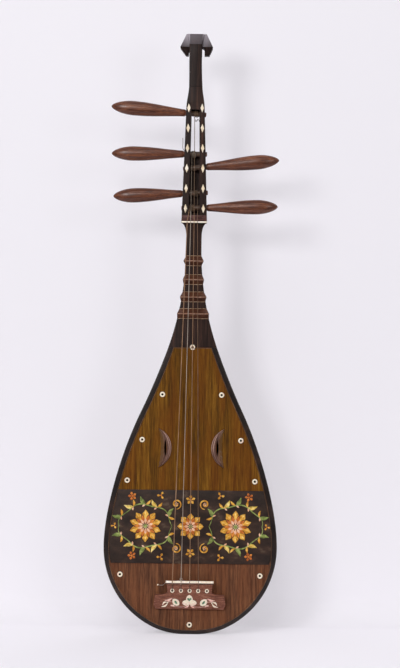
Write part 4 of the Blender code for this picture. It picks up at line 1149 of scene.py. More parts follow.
def painted_sheen(tree):
    """Painted sheen: stronger on the wings than on the strip, and strongest on the left one."""
    facing = add_node(tree, "ShaderNodeTexCoord").outputs["Normal"]
    up = add_node(tree, "ShaderNodeSeparateXYZ", facing).outputs["Z"]
    side = object_axis(tree, "X")
    beside = add_node(tree, "ShaderNodeMath", side, operation="ABSOLUTE")
    share = add_node(tree, "ShaderNodeMapRange", beside, 0.0112, 0.0118, 0.26, 0.80)
    for place_now, *ends in (
            (object_axis(tree, "Z"), head_top - 0.024, head_top - 0.004, 0.45, 1.0),
            (side, -0.012, 0.030, 1.0, 0.62), (up, 0.20, 0.36)):
        other = add_node(tree, "ShaderNodeMapRange", place_now, *ends)
        share = add_node(tree, "ShaderNodeMath", share, other, operation="MULTIPLY")
    return share


# Painted sheen: pale grey mixed over the facets that look up
lay_over(HEAD_WOOD, painted_sheen, "#b3abb3")
print("facets greyed")

# %% The head
# Levels of the strip: drop from the top, middle, half width, and depths of front and back
STRIP_LEVELS = (
    (0.0, -0.0009, 0.0146, 0.0140, 0.037), (0.0188, -0.0009, 0.0115, 0.0004, 0.034),
    (0.0200, -0.0009, 0.0114, 0.0, 0.034), (0.040, -0.0009, 0.0113, 0.0, 0.031),
    (0.060, -0.0008, 0.0113, 0.0, 0.030), (0.078, -0.0004, 0.0115, 0.0, 0.029),
    (0.0955, 0.0, 0.0120, 0.0, 0.028))
# Levels of the wings: drop, x of the outer left and right edges, and depths at the outer
# edge, beside the strip and behind
WING_LEVELS = (
    (0.0, -0.0176, 0.0186, 0.0125, 0.0190, 0.038),
    (0.0245, -0.0288, 0.0302, 0.0030, 0.0045, 0.046),
    (0.0392, -0.0182, 0.0238, 0.0120, 0.0130, 0.036))


def eased_ring(middle, half, front, back, height, radius=0.0009):
    """A rectangle with quarter-round corners, lying across the piece."""
    ring = []
    for corner in range(4):
        x = middle + (half - radius) * (1 if corner in (0, 3) else -1)
        depth = back - radius if corner < 2 else front + radius
        for i in range(4):
            angle = math.pi / 2 * (corner + i / 3)
            out = (radius * math.cos(angle), radius * math.sin(angle))
            ring.append(place(x + out[0], depth + out[1], height))
    return ring


strip_bm = skin([
    eased_ring(middle, half, front, back, head_top - drop)
    for drop, middle, half, front, back in STRIP_LEVELS])
head = finish_piece(
    "head_carving", strip_bm, HEAD_WOOD, replaces=("head_finial",))
rings = []
for drop, left, right, outer, inner, back in WING_LEVELS:
    corners = (
        (left, outer), (-0.0105, inner), (0.0105, inner), (right, outer), (right, back),
        (left, back))
    rings.append([place(x, depth, head_top - drop - 0.0003) for x, depth in corners])
wings_bm = skin(rings)
bevel_edges(wings_bm, 0.0008, segments=3, sharp=10)
cut_with(head, [wings_bm], "UNION")
# Saw cuts: side, inner edge, width, and the drop at which the cut ends
SAW_CUTS = ((-1, 0.0122, 0.0012, 0.030), (1, 0.0106, 0.0044, 0.0245))
saw_start = head_top - 0.05
saw_cuts = []
for side, inner, wide, top_drop in SAW_CUTS:
    corners = [
        (side * inner, saw_start), (side * (inner + wide), saw_start),
        (side * (inner + wide), head_top - top_drop - 0.003), (side * inner, head_top - top_drop)]
    saw_cuts.append(prism(corners, -0.01, 0.06))
cut_with(head, saw_cuts, sharp=24)
print("head faces", len(head.data.polygons))

# %% [markdown]
# ## Pegs
# A peg is turned, and then its handle is planed to eight flats that wear round again in use.
# We spin a round profile first and then press the handle's points part of the way onto the
# flats of an octagon: an octagon's radius grows from its flats to its corners. A band of
# duller brown on the shaft between the cheeks is painted shade inside the slot.

# %% Pegs
OCTAGON_LEFT = 0.35
PEG_STANDOFF = 0.0014
# The far ends of the right-hand pegs were cut shorter
PEG_END_LENGTHS = {-1: 0.0028, 1: 0.0014}
HANDLE_ROOT = 0.0064
HANDLE_MOST = 0.0134


def peg_profile(reach, handle_length, end_length):
    """(radius, place along the axis, share of octagon) from the tip to the far end."""
    tip = reach + handle_length
    start = reach + PEG_STANDOFF
    swell = start + (tip - start) * 0.70
    length = swell - start
    tip_cap = bezier(
        (0.0, tip), (HANDLE_MOST * 0.42, tip - 0.0005),
        (HANDLE_MOST, swell + (tip - swell) * 0.52), (HANDLE_MOST, swell), 12)
    handle = bezier(
        (HANDLE_MOST, swell), (HANDLE_MOST, swell - length * 0.36),
        (HANDLE_ROOT + 0.0026, start + length * 0.40), (HANDLE_ROOT, start + 0.001), 16)
    profile = [(r, z, 1.0) for r, z in tip_cap + handle[1:]]
    far = -reach - end_length
    end = shaft_radius(far)
    profile += [
        (HANDLE_ROOT - 0.0006, start + 0.0002, 0.6), (shaft_radius(start), start, 0.0),
        (shaft_radius(start - 0.003), start - 0.003, 0.0), (shaft_radius(-reach), -reach, 0.0),
        (end, far + 0.0013, 0.0), (end * 0.86, far + 0.0005, 0.0),
        (end * 0.5, far + 0.0001, 0.0), (0.0, far, 0.0)]
    return profile


def octagon_radius(angle):
    """Radius of an octagon with a flat at the top, for corners at radius 1."""
    flat = math.pi / 4
    inside = (angle + flat / 2) % flat - flat / 2
    return math.cos(flat / 2) / math.cos(inside)


for name, side, height, tilt, handle_length in PEGS:
    reach = read_off(BOX_WIDTHS, height) / math.cos(math.radians(tilt))
    profile = peg_profile(reach, handle_length, PEG_END_LENGTHS[side])
    shares = {round(z, 7): share for radius, z, share in profile}
    bm = spin_profile([(radius, z) for radius, z, share in profile], steps=48)
    for vert in bm.verts:
        share = shares[min(shares, key=lambda z: abs(z - vert.co.z))]
        shape = octagon_radius(math.atan2(vert.co.y, vert.co.x))
        factor = 1 + (shape - 1) * share * OCTAGON_LEFT
        vert.co.x *= factor
        vert.co.y *= factor
    bmesh.ops.transform(bm, matrix=peg_matrix(side, height, tilt), verts=bm.verts)
    finish_piece(
        f"{name}_turned", bm, PEG_WOOD, body=name, replaces=(name,), sharp=60)


def painted_slot_shade(tree):
    """Painted shade on the shaft between the cheeks, inside the slot."""
    reach = add_node(tree, "ShaderNodeMath", object_axis(tree, "X"), operation="ABSOLUTE")
    return add_node(tree, "ShaderNodeMapRange", reach, 0.0095, 0.0110, 0.75, 0.0)


# Painted shade: duller brown on the shaft inside the slot
lay_over(PEG_WOOD, painted_slot_shade, "#46382a")
print("pegs", len(PEGS))

# %% [markdown]
# ## Nut and saddle
# These bars only need eased edges. A bevel of a few tenths of a millimetre is enough for a
# bright line along each edge, and that line is what makes a bar read as wood or bone. Painted
# shade along their edges is a dark colour mixed in by height. The block above the nut has two
# saw lines across it.

# %% Bars with eased edges
BARS = (
    ("nut_strip", 0.0005, IVORY, "ivory"), ("nut_block", 0.0009, NUT_WOOD, "bridge_wood"),
    ("bridge_saddle", 0.0005, IVORY, "ivory"))
saddle_low, saddle_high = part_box("bridge_saddle")
nut_low, nut_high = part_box("nut_strip")


def painted_edge_shade(tree):
    """Painted shade along the lower edge of the saddle and both long edges of the nut."""
    z = object_axis(tree, "Z")
    saddle = add_node(
        tree, "ShaderNodeMapRange", z, saddle_low.z + 0.0019, saddle_low.z + 0.0022, 1.0, 0.0)
    below = add_node(
        tree, "ShaderNodeMapRange", z, nut_low.z + 0.0001, nut_low.z + 0.0003, 1.0, 0.0)
    near = add_node(tree, "ShaderNodeMapRange", z, nut_low.z - 0.002, nut_low.z - 0.001)
    nut = add_node(tree, "ShaderNodeMath", below, near, operation="MULTIPLY")
    top = add_node(tree, "ShaderNodeMapRange", z, nut_high.z - 0.0007, nut_high.z - 0.0005)
    both = add_node(tree, "ShaderNodeMath", saddle, nut, operation="ADD")
    return add_node(tree, "ShaderNodeMath", both, top, operation="ADD")


# Painted shade: dark brown along the edges of the nut and the saddle
lay_over(IVORY, painted_edge_shade, "#5c3d31")
bars = {}
for node, width, material, slot in BARS:
    bm = merged_copy(node)
    bevel_edges(bm, width)
    bars[node] = finish_piece(f"{node}_eased", bm, material, replaces=(node,))
block_low, block_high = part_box("nut_block")
SAW_LINE_PLACES = (0.36, 0.70)
SAW_HALF_WIDTH, SAW_DEPTH = 0.0003, 0.0007


def bar_outline(height, half_length, half_wide):
    """A bar across the instrument, as (x, height) corners."""
    return [
        (-half_length, height - half_wide), (half_length, height - half_wide),
        (half_length, height + half_wide), (-half_length, height + half_wide)]


saw_lines = []
for share in SAW_LINE_PLACES:
    z = block_low.z + (block_high.z - block_low.z) * share
    saw_lines.append(
        prism(bar_outline(z, 0.03, SAW_HALF_WIDTH), -0.02, block_low.y - face_y + SAW_DEPTH))
cut_with(bars["nut_block"], saw_lines)
print("bars", len(bars))

# %% [markdown]
# ## Strokes
# Inlays, glue lines and thick paint are all thin domed ribbons that lie on a surface. One
# helper lays such a stroke along a path of (x, height) points, with a half width at each
# point; a petal or a leaf is only a stroke whose width swells and closes again. Strokes of
# one colour are gathered in one bmesh, so that they stay one piece.

# %% Strokes and petals
STROKE_SECTION = (
    (-1.0, 0.0), (-0.92, 0.6), (-0.5, 0.92), (0.0, 1.0), (0.5, 0.92), (0.92, 0.6), (1.0, 0.0))
STROKE_SINK = 0.0001


def on_board(height):
    """Rise of the board and the neck, which is the plane that rises are measured from."""
    return 0.0


def add_to(target, bm):
    bmesh.ops.recalc_face_normals(bm, faces=bm.faces)
    mesh = bpy.data.meshes.new("part_of_piece")
    bm.to_mesh(mesh)
    bm.free()
    target.from_mesh(mesh)
    bpy.data.meshes.remove(mesh)


def stroke(target, path, half_widths, lift, surface=on_board):
    """Lay a closed domed ribbon; surface gives the rise of what it lies on at a height."""
    last = len(path) - 1
    rings = []
    for i, ((x, z), half) in enumerate(zip(path, half_widths)):
        before, after = path[max(i - 1, 0)], path[min(i + 1, last)]
        along = Vector((after[0] - before[0], after[1] - before[1])).normalized()
        ring = []
        for across, up in STROKE_SECTION:
            z_here = z + along.x * half * across
            rise = surface(z_here) - STROKE_SINK + (lift + STROKE_SINK) * up
            ring.append(place(x - along.y * half * across, -rise, z_here))
        rings.append(ring)
    add_to(target, skin(rings))


def petal(
        target, start, end, width, lift, surface=on_board, bend=0.0, belly=0.5, steps=8,
        fullness=0.8):
    """A stroke that is widest at belly, a share of its length, and bends to its left; it is
    rounder the smaller fullness is."""
    run = (end[0] - start[0], end[1] - start[1])
    middle = (
        (start[0] + end[0]) / 2 - run[1] * bend, (start[1] + end[1]) / 2 + run[0] * bend)
    path = bezier(start, middle, middle, end, steps)
    power = math.log(0.5) / math.log(belly)
    halves = [
        width / 2 * max(0.07, math.sin(math.pi * (i / steps) ** power) ** fullness)
        for i in range(steps + 1)]
    stroke(target, path, halves, lift, surface)


def knob(target, x, height, radius, lift, surface=on_board):
    """A low round dome."""
    spot = Matrix.Translation(place(x, -surface(height), height))
    shape = Matrix.Diagonal((radius, lift, radius, 1.0))
    bmesh.ops.create_uvsphere(
        target, u_segments=16, v_segments=8, radius=1.0, matrix=spot @ shape)


print("strokes ready")

# %% [markdown]
# ## Frets
# A fret is a wedge of wood across the neck, and its ends stand out at both sides. A strip of
# bamboo let into its ridge takes the wear of the strings. Where the wedge meets the neck,
# dried glue shows as a thin pale line, never quite straight.

# %% The frets
RIDGE_SHARE = 0.472
RIDGE_HALF, RIDGE_SINK = 0.0005, 0.0006
GLUE_HALF = 0.00045
glue_bm = bmesh.new()
for number in (1, 2, 3, 4):
    node = f"fret_{number}"
    low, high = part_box(node)
    bm = merged_copy(node)
    bevel_edges(bm, 0.0014, segments=4)
    fret = finish_piece(f"{node}_wedge", bm, FRET_WOOD, replaces=(node,))
    ridge = low.z + (high.z - low.z) * RIDGE_SHARE
    front = low.y - face_y
    half = high.x - 0.0008
    groove = bar_outline(ridge, half + 0.01, RIDGE_HALF + 0.00005)
    cut_with(fret, [prism(groove, front - 0.01, front + RIDGE_SINK)])
    strip_bm = prism(bar_outline(ridge, half, RIDGE_HALF), front, front + RIDGE_SINK)
    finish_piece(f"{node}_ridge", strip_bm, BAMBOO)
    for z, lift in ((low.z - 0.0002, 0.00035), (high.z + 0.0001, 0.0003)):
        reach = half_width(z) - 0.0014
        path = [
            (reach * (k / 10 - 1), z + 0.0002 * math.sin(k * 1.9 + number)) for k in range(21)]
        stroke(glue_bm, path, [GLUE_HALF] * len(path), lift)
finish_piece("fret_glue_lines", glue_bm, GLUE)
top_line_bm = bmesh.new()
line_half = BOARD_TOP_HALF - 0.0105
line_path = [(line_half * (k / 5 - 1), board_top - 0.0010) for k in range(11)]
stroke(top_line_bm, line_path, [0.0006] * len(line_path), 0.0001)
finish_piece("board_top_line", top_line_bm, PURFLING)
print("frets made")

# %% [markdown]
# ## Bridge
# The plain bridge has the right form: a sloping toe, square shoulders with a hollow above
# them, and a lip that overhangs the strings' knots. Its copy gets eased edges.

# %% The bridge
EYELET_HOLE = 0.0020
bridge_bm = merged_copy("bridge")
bevel_edges(bridge_bm, 0.0006, sharp=28)
bridge = finish_piece("bridge_carved", bridge_bm, BRIDGE_WOOD, replaces=("bridge",))
holes = []
for number in range(1, 6):
    low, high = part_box(f"eyelet_{number}")
    front = high.y - face_y - 0.001
    holes.append(disc(
        (low.x + high.x) / 2, (low.z + high.z) / 2, EYELET_HOLE + 0.0001, front, front + 0.006))
cut_with(bridge, holes)
print("bridge carved")

# %% [markdown]
# ## Rings and eyelets
# Each ring is a shell washer with a soft edge, and a dot of ebony fills its hole. Eyelets on
# the bridge are the same washers, but their holes are real.

# %% Rings and eyelets
def washer(node, hole, easing, plug):
    low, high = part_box(node)
    x, z = (low.x + high.x) / 2, (low.z + high.z) / 2
    radius = (high.x - low.x) / 2 - 0.0005
    front, back = low.y - face_y, high.y - face_y
    profile = [
        (hole, back), (hole, front + easing), (hole + easing, front),
        (radius - easing, front), (radius - easing * 0.3, front + easing * 0.3),
        (radius, front + easing), (radius, back), (hole, back)]
    bm = spin_profile([(r, -depth) for r, depth in profile])
    if plug:
        ebony = bmesh.ops.create_cone(
            bm, cap_ends=True, segments=24, radius1=hole - 0.00005, radius2=hole - 0.00005,
            depth=(back - front) * 0.8)
        bmesh.ops.translate(bm, verts=ebony["verts"], vec=(0.0, 0.0, -back + (back - front) * 0.4))
        for face in {f for v in ebony["verts"] for f in v.link_faces}:
            face.material_index = 1
    bmesh.ops.rotate(bm, verts=bm.verts, matrix=QUARTER)
    bmesh.ops.translate(bm, verts=bm.verts, vec=place(x, 0.0, z))
    return finish_piece(f"{node}_shell", bm, (SHELL, EBONY), replaces=(node,))


for number in range(1, 11):
    washer(f"ring_{number}", 0.0021, 0.0003, True)
for number in range(1, 6):
    washer(f"eyelet_{number}", EYELET_HOLE, 0.0003, False)
print("rings and eyelets made")

# %% [markdown]
# ## Inlay on the bridge
# The bridge carries a common spray of flowers in shell: three broad petals in the middle with
# a green heart, a bud at each side, and pink and white leaves on thin stems. Each piece is a
# stroke that follows the slope of the bridge's toe. The right side mirrors the left one, but
# its pieces lie a little further out, as they do where each is sawn by hand.

# %% The inlay
bridge_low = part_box("bridge")[0]
full_rise = face_y - bridge_low.y
TOE_RISE = 0.005
SHOULDER_HEIGHT = 0.0718
INLAY_LIFT = 0.00025
STEM_HALF_WIDTH = 0.00038


def on_bridge(height):
    """Rise of the sloping toe, or of the flat above its shoulder."""
    share = min(max((height - bridge_low.z) / (SHOULDER_HEIGHT - bridge_low.z), 0.0), 1.0)
    return TOE_RISE + (full_rise - TOE_RISE) * share


inlays = {"white": bmesh.new(), "pink": bmesh.new(), "green": bmesh.new()}


def inlay(colour, start, end, width, layer=0, **shape):
    """A petal given in millimetres; each layer lies a little higher than the last."""
    ends = [(x * MM, z * MM) for x, z in (start, end)]
    lift = INLAY_LIFT + layer * 0.0001
    petal(inlays[colour], *ends, width * MM, lift, on_bridge, **shape)


ROUND = {"fullness": 0.42, "steps": 16}
inlay("white", (-0.2, 59.0), (-0.2, 72.6), 12.4, belly=0.42, **ROUND)
inlay("white", (1.6, 57.6), (-13.0, 57.6), 11.2, belly=0.52, **ROUND)
inlay("white", (-1.6, 57.6), (12.9, 57.6), 11.2, belly=0.52, **ROUND)
inlay("pink", (-11.0, 55.4), (-5.0, 56.4), 2.6, layer=1, bend=-0.1)
inlay("pink", (11.0, 55.2), (5.0, 56.4), 2.6, layer=1, bend=0.1)
for lean in (-1, 1):
    inlay(
        "green", (-0.2, 60.4), (-0.2 + lean * 3.4, 66.8), 5.2, layer=1, belly=0.64,
        bend=lean * 0.12, fullness=0.5)
# Petals of a side: colour, start, end, width, layer, bend and belly
SIDE_PETALS = (
    ("white", (29.4, 64.4), (19.0, 53.0), 12.2, 0, 0.03, 0.52),
    ("green", (26.4, 61.6), (22.0, 55.4), 5.2, 1, 0.06, 0.5),
    ("pink", (45.0, 62.2), (31.6, 66.2), 4.4, 0, 0.20, 0.55),
    ("white", (39.2, 58.6), (48.6, 52.4), 3.2, 0, 0.34, 0.5),
    ("white", (38.6, 58.0), (51.0, 49.6), 3.2, 0, -0.24, 0.55),
    ("white", (37.8, 57.2), (41.0, 58.8), 2.2, 0, 0.0, 0.5),
    ("pink", (34.2, 52.6), (27.2, 49.4), 3.6, 0, -0.2, 0.4),
    ("white", (26.6, 51.8), (31.4, 53.0), 2.4, 0, 0.0, 0.5),
    ("pink", (0.6, 52.8), (9.0, 48.4), 3.0, 0, -0.12, 0.5))
for side, out in ((-1, 0.0), (1, 0.9)):
    for colour, start, end, width, layer, bend, belly in SIDE_PETALS:
        ends = [(side * (x + out), z) for x, z in (start, end)]
        shape = ROUND if width > 5 else {}
        inlay(colour, *ends, width, layer=layer, bend=side * bend, belly=belly, **shape)
    for points in (
            ((0.4, 53.8), (9.0, 48.2), (20.0, 49.6), (27.5, 50.6)),
            ((29.0, 58.6), (33.0, 60.0), (36.0, 59.6), (39.5, 58.8)),
            ((27.5, 63.0), (29.0, 65.0), (31.0, 65.0), (32.5, 64.6))):
        path = bezier(*[(side * (x + out) * MM, z * MM) for x, z in points], 12)
        stroke(inlays["pink"], path, [STEM_HALF_WIDTH] * len(path), INLAY_LIFT, on_bridge)
for colour, material in (("white", SHELL), ("pink", PINK_SHELL), ("green", GREEN_STONE)):
    finish_piece(f"bridge_inlay_{colour}", inlays[colour], material, sharp=60)
print("bridge inlaid")

# %% [markdown]
# ## Half moons
# Each sound hole is a slit in the board under a carved half moon. Its round side carries two
# ridges with a groove between them; behind them the wood slopes to the slit, rises to a soft
# lip and thins out to the straight side. A relief with so many bends is easiest as a grid: a
# row for each height, its points read off one table of (rise, share of the width).

# %% The half moons
moon_low, moon_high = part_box("sound_hole_right")
moon_height = (moon_low.z + moon_high.z) / 2
moon_half_length = (moon_high.z - moon_low.z) / 2
moon_bulge, moon_back, moon_tip = moon_low.x, 0.0548, moon_high.x - 0.0002
SLIT_X, SLIT_HALF_LENGTH, SLIT_HALF_WIDTH = 0.0466, 0.0160, 0.0024
MOON_RELIEF = (
    (0.0006, 0.0), (0.0026, 0.035), (0.0030, 0.07), (0.0017, 0.13), (0.0026, 0.18),
    (0.0032, 0.22), (0.0026, 0.28), (0.0010, 0.42), (0.0011, 0.52), (0.0021, 0.60),
    (0.0022, 0.68), (0.0013, 0.84), (0.0004, 1.0))


def moon_arc(bulge, rise):
    """x on the arc from tip to tip through the bulge, at a height above the middle."""
    sag = abs(moon_tip - bulge)
    radius = (sag * sag + moon_half_length ** 2) / (2 * sag)
    return bulge + radius - math.sqrt(max(radius * radius - rise * rise, 0.0))


def moon_row(share, side):
    rise = moon_half_length * share
    left = moon_arc(moon_bulge, rise)
    right = max(moon_arc(moon_back, rise) + 0.0004 * math.sin(share * 23), left + 0.0004)
    fade = 1 - 0.45 * abs(share) ** 3
    height = moon_height + rise
    row = []
    for i in range(45):
        u = i / 44
        relief = read_off(MOON_RELIEF, u) * fade
        if 0.3 < u < 0.98:
            relief += 0.00012 * math.sin(share * 31 + u * 17)
        row.append(place(side * (left + (right - left) * u), -AIR - relief, height))
    row.append(place(side * right, -AIR * 0.2, height))
    row.append(place(side * left, -AIR * 0.2, height))
    return row


def moon_map(tree):
    """Places on the piece's own UV map: X runs across the half moon, and Y up it."""
    lay = add_node(tree, "ShaderNodeUVMap", uv_map="lay")
    return add_node(tree, "ShaderNodeSeparateXYZ", lay).outputs


def painted_ridge_highlights(tree):
    """Painted highlights on the two ridges, strongest on their upper half."""
    lay = moon_map(tree)
    ridges = set_stops(add_node(tree, "ShaderNodeValToRGB", lay["X"]), (
        (0.0, "#404040"), (0.035, "#909090"), (0.062, "#ffffff"), (0.095, "#101010"),
        (0.170, "#101010"), (0.200, "#ffffff"), (0.250, "#505050"), (0.30, "#000000")))
    upper = add_node(tree, "ShaderNodeMapRange", lay["Y"], 0.30, 0.72, 0.25, 1.0)
    return add_node(tree, "ShaderNodeMath", ridges, upper, operation="MULTIPLY")


def stained_back(tree):
    """Behind the slit the thin wood has taken the board's stain, more so towards the top."""
    lay = moon_map(tree)
    across = add_node(tree, "ShaderNodeMapRange", lay["X"], 0.50, 0.76)
    upper = add_node(tree, "ShaderNodeMapRange", lay["Y"], 0.10, 0.55, 0.60, 1.0)
    return add_node(tree, "ShaderNodeMath", across, upper, operation="MULTIPLY")


lay_over(MOON_WOOD, stained_back, "#5b3c12")
# Painted highlights: pale lines along the two ridges
lay_over(MOON_WOOD, painted_ridge_highlights, "#dfb8a8")
for side, word in SIDE_NAMES:
    bm = skin([moon_row(i / 24 - 1, side) for i in range(49)], lay=[i / 48 for i in range(49)])
    node = f"sound_hole_{word}"
    moon = finish_piece(f"{node}_carved", bm, MOON_WOOD, replaces=(node,))
    lens = []
    for sense in (1, -1):
        for i in range(12):
            t = sense * (i / 6 - 1)
            x = SLIT_X + sense * SLIT_HALF_WIDTH * (1 - t * t)
            lens.append((side * x, moon_height + SLIT_HALF_LENGTH * t))
    cut_with(moon, [prism(lens, -0.01, 0.002)], sharp=50)
print("half moons carved")

# %% [markdown]
# ## The guard
# A band of dark varnished skin protects the board where the plectrum strikes, and it is
# painted. We give it a common scroll: round blossoms inside leafy ovals of vine, and small
# flowers strewn around. The paint is made of strokes too, laid on the skin in five colours
# over dark undercoats a little wider than they are, which show as outlines.

# %% The guard and helpers for its paint
guard_low, guard_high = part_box("plectrum_guard")
guard_middle = (guard_low.z + guard_high.z) / 2
guard_bm = merged_copy("plectrum_guard")
# The lower edge of the skin has stretched a little below its cut
GUARD_STRETCH = 0.0020
lower_edge = [v for v in guard_bm.verts if v.co.z < guard_low.z + 0.001]
bmesh.ops.translate(guard_bm, verts=lower_edge, vec=(0.0, 0.0, -GUARD_STRETCH))
bmesh.ops.scale(guard_bm, verts=lower_edge, vec=(0.995, 1.0, 1.0))
bevel_edges(guard_bm, 0.0003, segments=2)
finish_piece(
    "guard_sheet", guard_bm, LEATHER, replaces=("plectrum_guard",))
paint = {colour: bmesh.new() for colour in PAINTS}
# Petal rings of a blossom: colour, inner and outer share of its radius, width share, lift in
# mm, and how far the ring is turned, in petals
BLOSSOM_RINGS = (
    ("outline", 0.28, 1.07, 0.66, 0.08, 0.0), ("gold", 0.30, 1.00, 0.52, 0.14, 0.0),
    ("outline", 0.22, 0.76, 0.40, 0.16, 0.5), ("orange", 0.22, 0.71, 0.32, 0.20, 0.5),
    ("yellow", 0.62, 0.93, 0.13, 0.20, 0.0), ("pink", 0.10, 0.48, 0.24, 0.25, 0.0))


def on_guard(height):
    return face_y - guard_low.y


def around(x, height, radius, angle):
    return (x + radius * math.cos(angle), height + radius * math.sin(angle))


def blossom(x, height, radius, petals, rings=BLOSSOM_RINGS):
    for colour, inner, outer, width, lift, turn in rings:
        for k in range(petals):
            angle = math.pi / 2 + 2 * math.pi * (k + turn) / petals
            petal(
                paint[colour], around(x, height, radius * inner, angle),
                around(x, height, radius * outer, angle), radius * width * 8 / petals,
                lift * MM, on_guard, belly=0.62)
    knob(paint["green"], x, height, radius * 0.13, 0.0003, on_guard)


def painted(colour, start, end, width, lift=0.15, **shape):
    """A petal of colour over a slightly larger dark one."""
    along = Vector(end) - Vector(start)
    more = along.normalized() * 0.0005
    petal(
        paint["outline"], Vector(start) - more, Vector(end) + more, width + 0.0011,
        0.07 * MM, on_guard, **shape)
    petal(paint[colour], start, end, width, lift * MM, on_guard, **shape)


def painted_line(colour, path, half):
    last = len(path) - 1
    swell = [math.sin(math.pi * min(i, last - i) / last) for i in range(last + 1)]
    halves = [half * (0.45 + 0.55 * share) for share in swell]
    stroke(paint["outline"], path, [h + 0.0004 for h in halves], 0.06 * MM, on_guard)
    stroke(paint[colour], path, halves, 0.12 * MM, on_guard)


def small_flower(x, height, radius, petals, colour, turn=0.0):
    for k in range(petals):
        angle = math.pi / 2 + turn + 2 * math.pi * k / petals
        painted(
            colour, around(x, height, radius * 0.12, angle), around(x, height, radius, angle),
            radius * 0.62, belly=0.62)
    knob(paint["orange"], x, height, radius * 0.2, 0.0003, on_guard)


print("guard", round((guard_high.z - guard_low.z) * 1000, 1), "mm high, in", len(paint), "colours")

# %% The painted scroll
blossom(0.0, guard_middle, 0.0235, 8)
OVAL_X, OVAL_HALF_WIDTH, OVAL_HALF_HEIGHT = 0.0810, 0.0475, 0.0385
LEAF_TURNS = (0.16, 0.34, 0.50, 0.66, 0.84)
for side in (-1, 1):
    centre = side * OVAL_X
    blossom(centre, guard_middle, 0.0290, 10)
    for up in (-1, 1):
        oval = []
        for i in range(41):
            angle = math.pi * (1 - i / 40)
            wave = 1 + 0.05 * math.sin(angle * 6)
            oval.append((
                centre + side * OVAL_HALF_WIDTH * wave * math.cos(angle),
                guard_middle + up * OVAL_HALF_HEIGHT * wave * math.sin(angle)))
        painted_line("green", oval, 0.0012)
        for k, turn in enumerate(LEAF_TURNS):
            i = round(turn * 40)
            root = Vector(oval[i])
            along = (Vector(oval[i + 1]) - Vector(oval[i - 1])).normalized()
            out = Vector((-along.y, along.x)) * side * up
            colour = ("green", "yellow")[k % 2]
            leaf_end = root + out * 0.0120 + along * 0.0125
            painted(colour, root, leaf_end, 0.0072, belly=0.42, bend=-0.16 * side * up)
            second_end = root + out * 0.0100 - along * 0.0070
            painted("gold", root, second_end, 0.0046, belly=0.5, bend=0.14 * side * up)
            vein = [tuple(root.lerp(leaf_end, share)) for share in (0.12, 0.3, 0.5, 0.7)]
            stroke(paint["outline"], vein, [0.0003, 0.0003, 0.00025, 0.0001], 0.2 * MM, on_guard)
            inner_end = root - out * 0.0052 + along * 0.0050
            painted("pink", root, inner_end, 0.0034, belly=0.6, bend=0.1 * side * up)
        curl_x = side * 0.0255
        curl = []
        for i in range(30):
            share = i / 29
            radius = 0.0092 * (1 - 0.78 * share)
            angle = math.pi * (1.5 - 2.6 * share)
            spot = around(0.0, 0.0, radius, angle)
            curl.append((curl_x + side * spot[0], guard_middle + up * (0.0400 + spot[1])))
        painted_line("gold", curl, 0.0015)
        small_flower(curl_x, guard_middle + up * 0.0400, 0.0034, 5, "pink")
        small_flower(side * 0.0535, guard_middle + up * 0.0555, 0.0072, 3, "gold", side * 0.5)
        small_flower(side * 0.1050, guard_middle + up * 0.0535, 0.0078, 5, "orange", 0.3)
    small_flower(side * 0.1375, guard_middle, 0.0062, 3, "gold", side * 0.4)
for up in (-1, 1):
    small_flower(0.0, guard_middle + up * 0.0480, 0.0085, 5, "gold", 0.0 if up > 0 else math.pi)
for colour in PAINTS:
    finish_piece(f"guard_paint_{colour}", paint[colour], PAINT[colour], sharp=70)
print("guard painted")

# %% [markdown]
# ## Strings
# Each string is one piece of twisted, waxed silk. Below the bridge's lip it ends in a knot;
# it comes up through its hole, lies over saddle and nut, and winds four times round its peg.
# A curve object would do, but a mesh tube carries a UV map, and the twist of the silk follows
# that. Rings must not spin against each other on the way, so the side direction of each ring
# is that of the last one, turned only as far as the route turns.

# %% Tubes along a route
def tube(points, radii, diameter, sides=12):
    """Closed tube whose UV map has the length, in diameters, as its second value."""
    last = len(points) - 1
    length = 0.0
    rings, lay = [], []
    side = None
    for i, (point, radius) in enumerate(zip(points, radii)):
        along = (points[min(i + 1, last)] - points[max(i - 1, 0)]).normalized()
        if side is None:
            side = along.orthogonal().normalized()
        else:
            side = (before.rotation_difference(along) @ side).normalized()
            length += (point - points[i - 1]).length
        before = along
        across = along.cross(side)
        angles = [2 * math.pi * k / sides for k in range(sides)]
        rings.append([
            point + (side * math.cos(angle) + across * math.sin(angle)) * radius
            for angle in angles])
        lay.append(length / diameter)
    return skin(rings, lay=lay)


print("tubes ready")

# %% The strings
KNOT_RADIUS = 0.0019
LIP_UNDERSIDE = 0.010
HOLE_RADIUS = 0.0015
HOLE_HEIGHT = 0.0800
HOLE_PITCH = 0.0155
NUT_PITCH = 0.0062
STRING_PLACES = 5
STRING_TURNS = 4
POINTS_PER_TURN = 24
TURN_GAP = 0.00045
# Name, place counted from the left, peg, x where it meets the shaft, way it winds, diameter
STRINGS = (
    ("string_1", 0, "peg_5", -0.0080, 1, 0.0014),
    ("string_2", 1, "peg_2", -0.0055, 1, 0.0012),
    ("string_3", 2, "peg_1", -0.0014, 1, 0.0011),
    ("string_4", 3, "peg_3", 0.0055, -1, 0.0010),
)
# String 2 is newer and greyer than the others, and string 4 the darkest
STRING_SILKS = {"string_2": GREY_SILK, "string_4": BROWN_SILK}
eyelet_top_rise = face_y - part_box("eyelet_1")[0].y


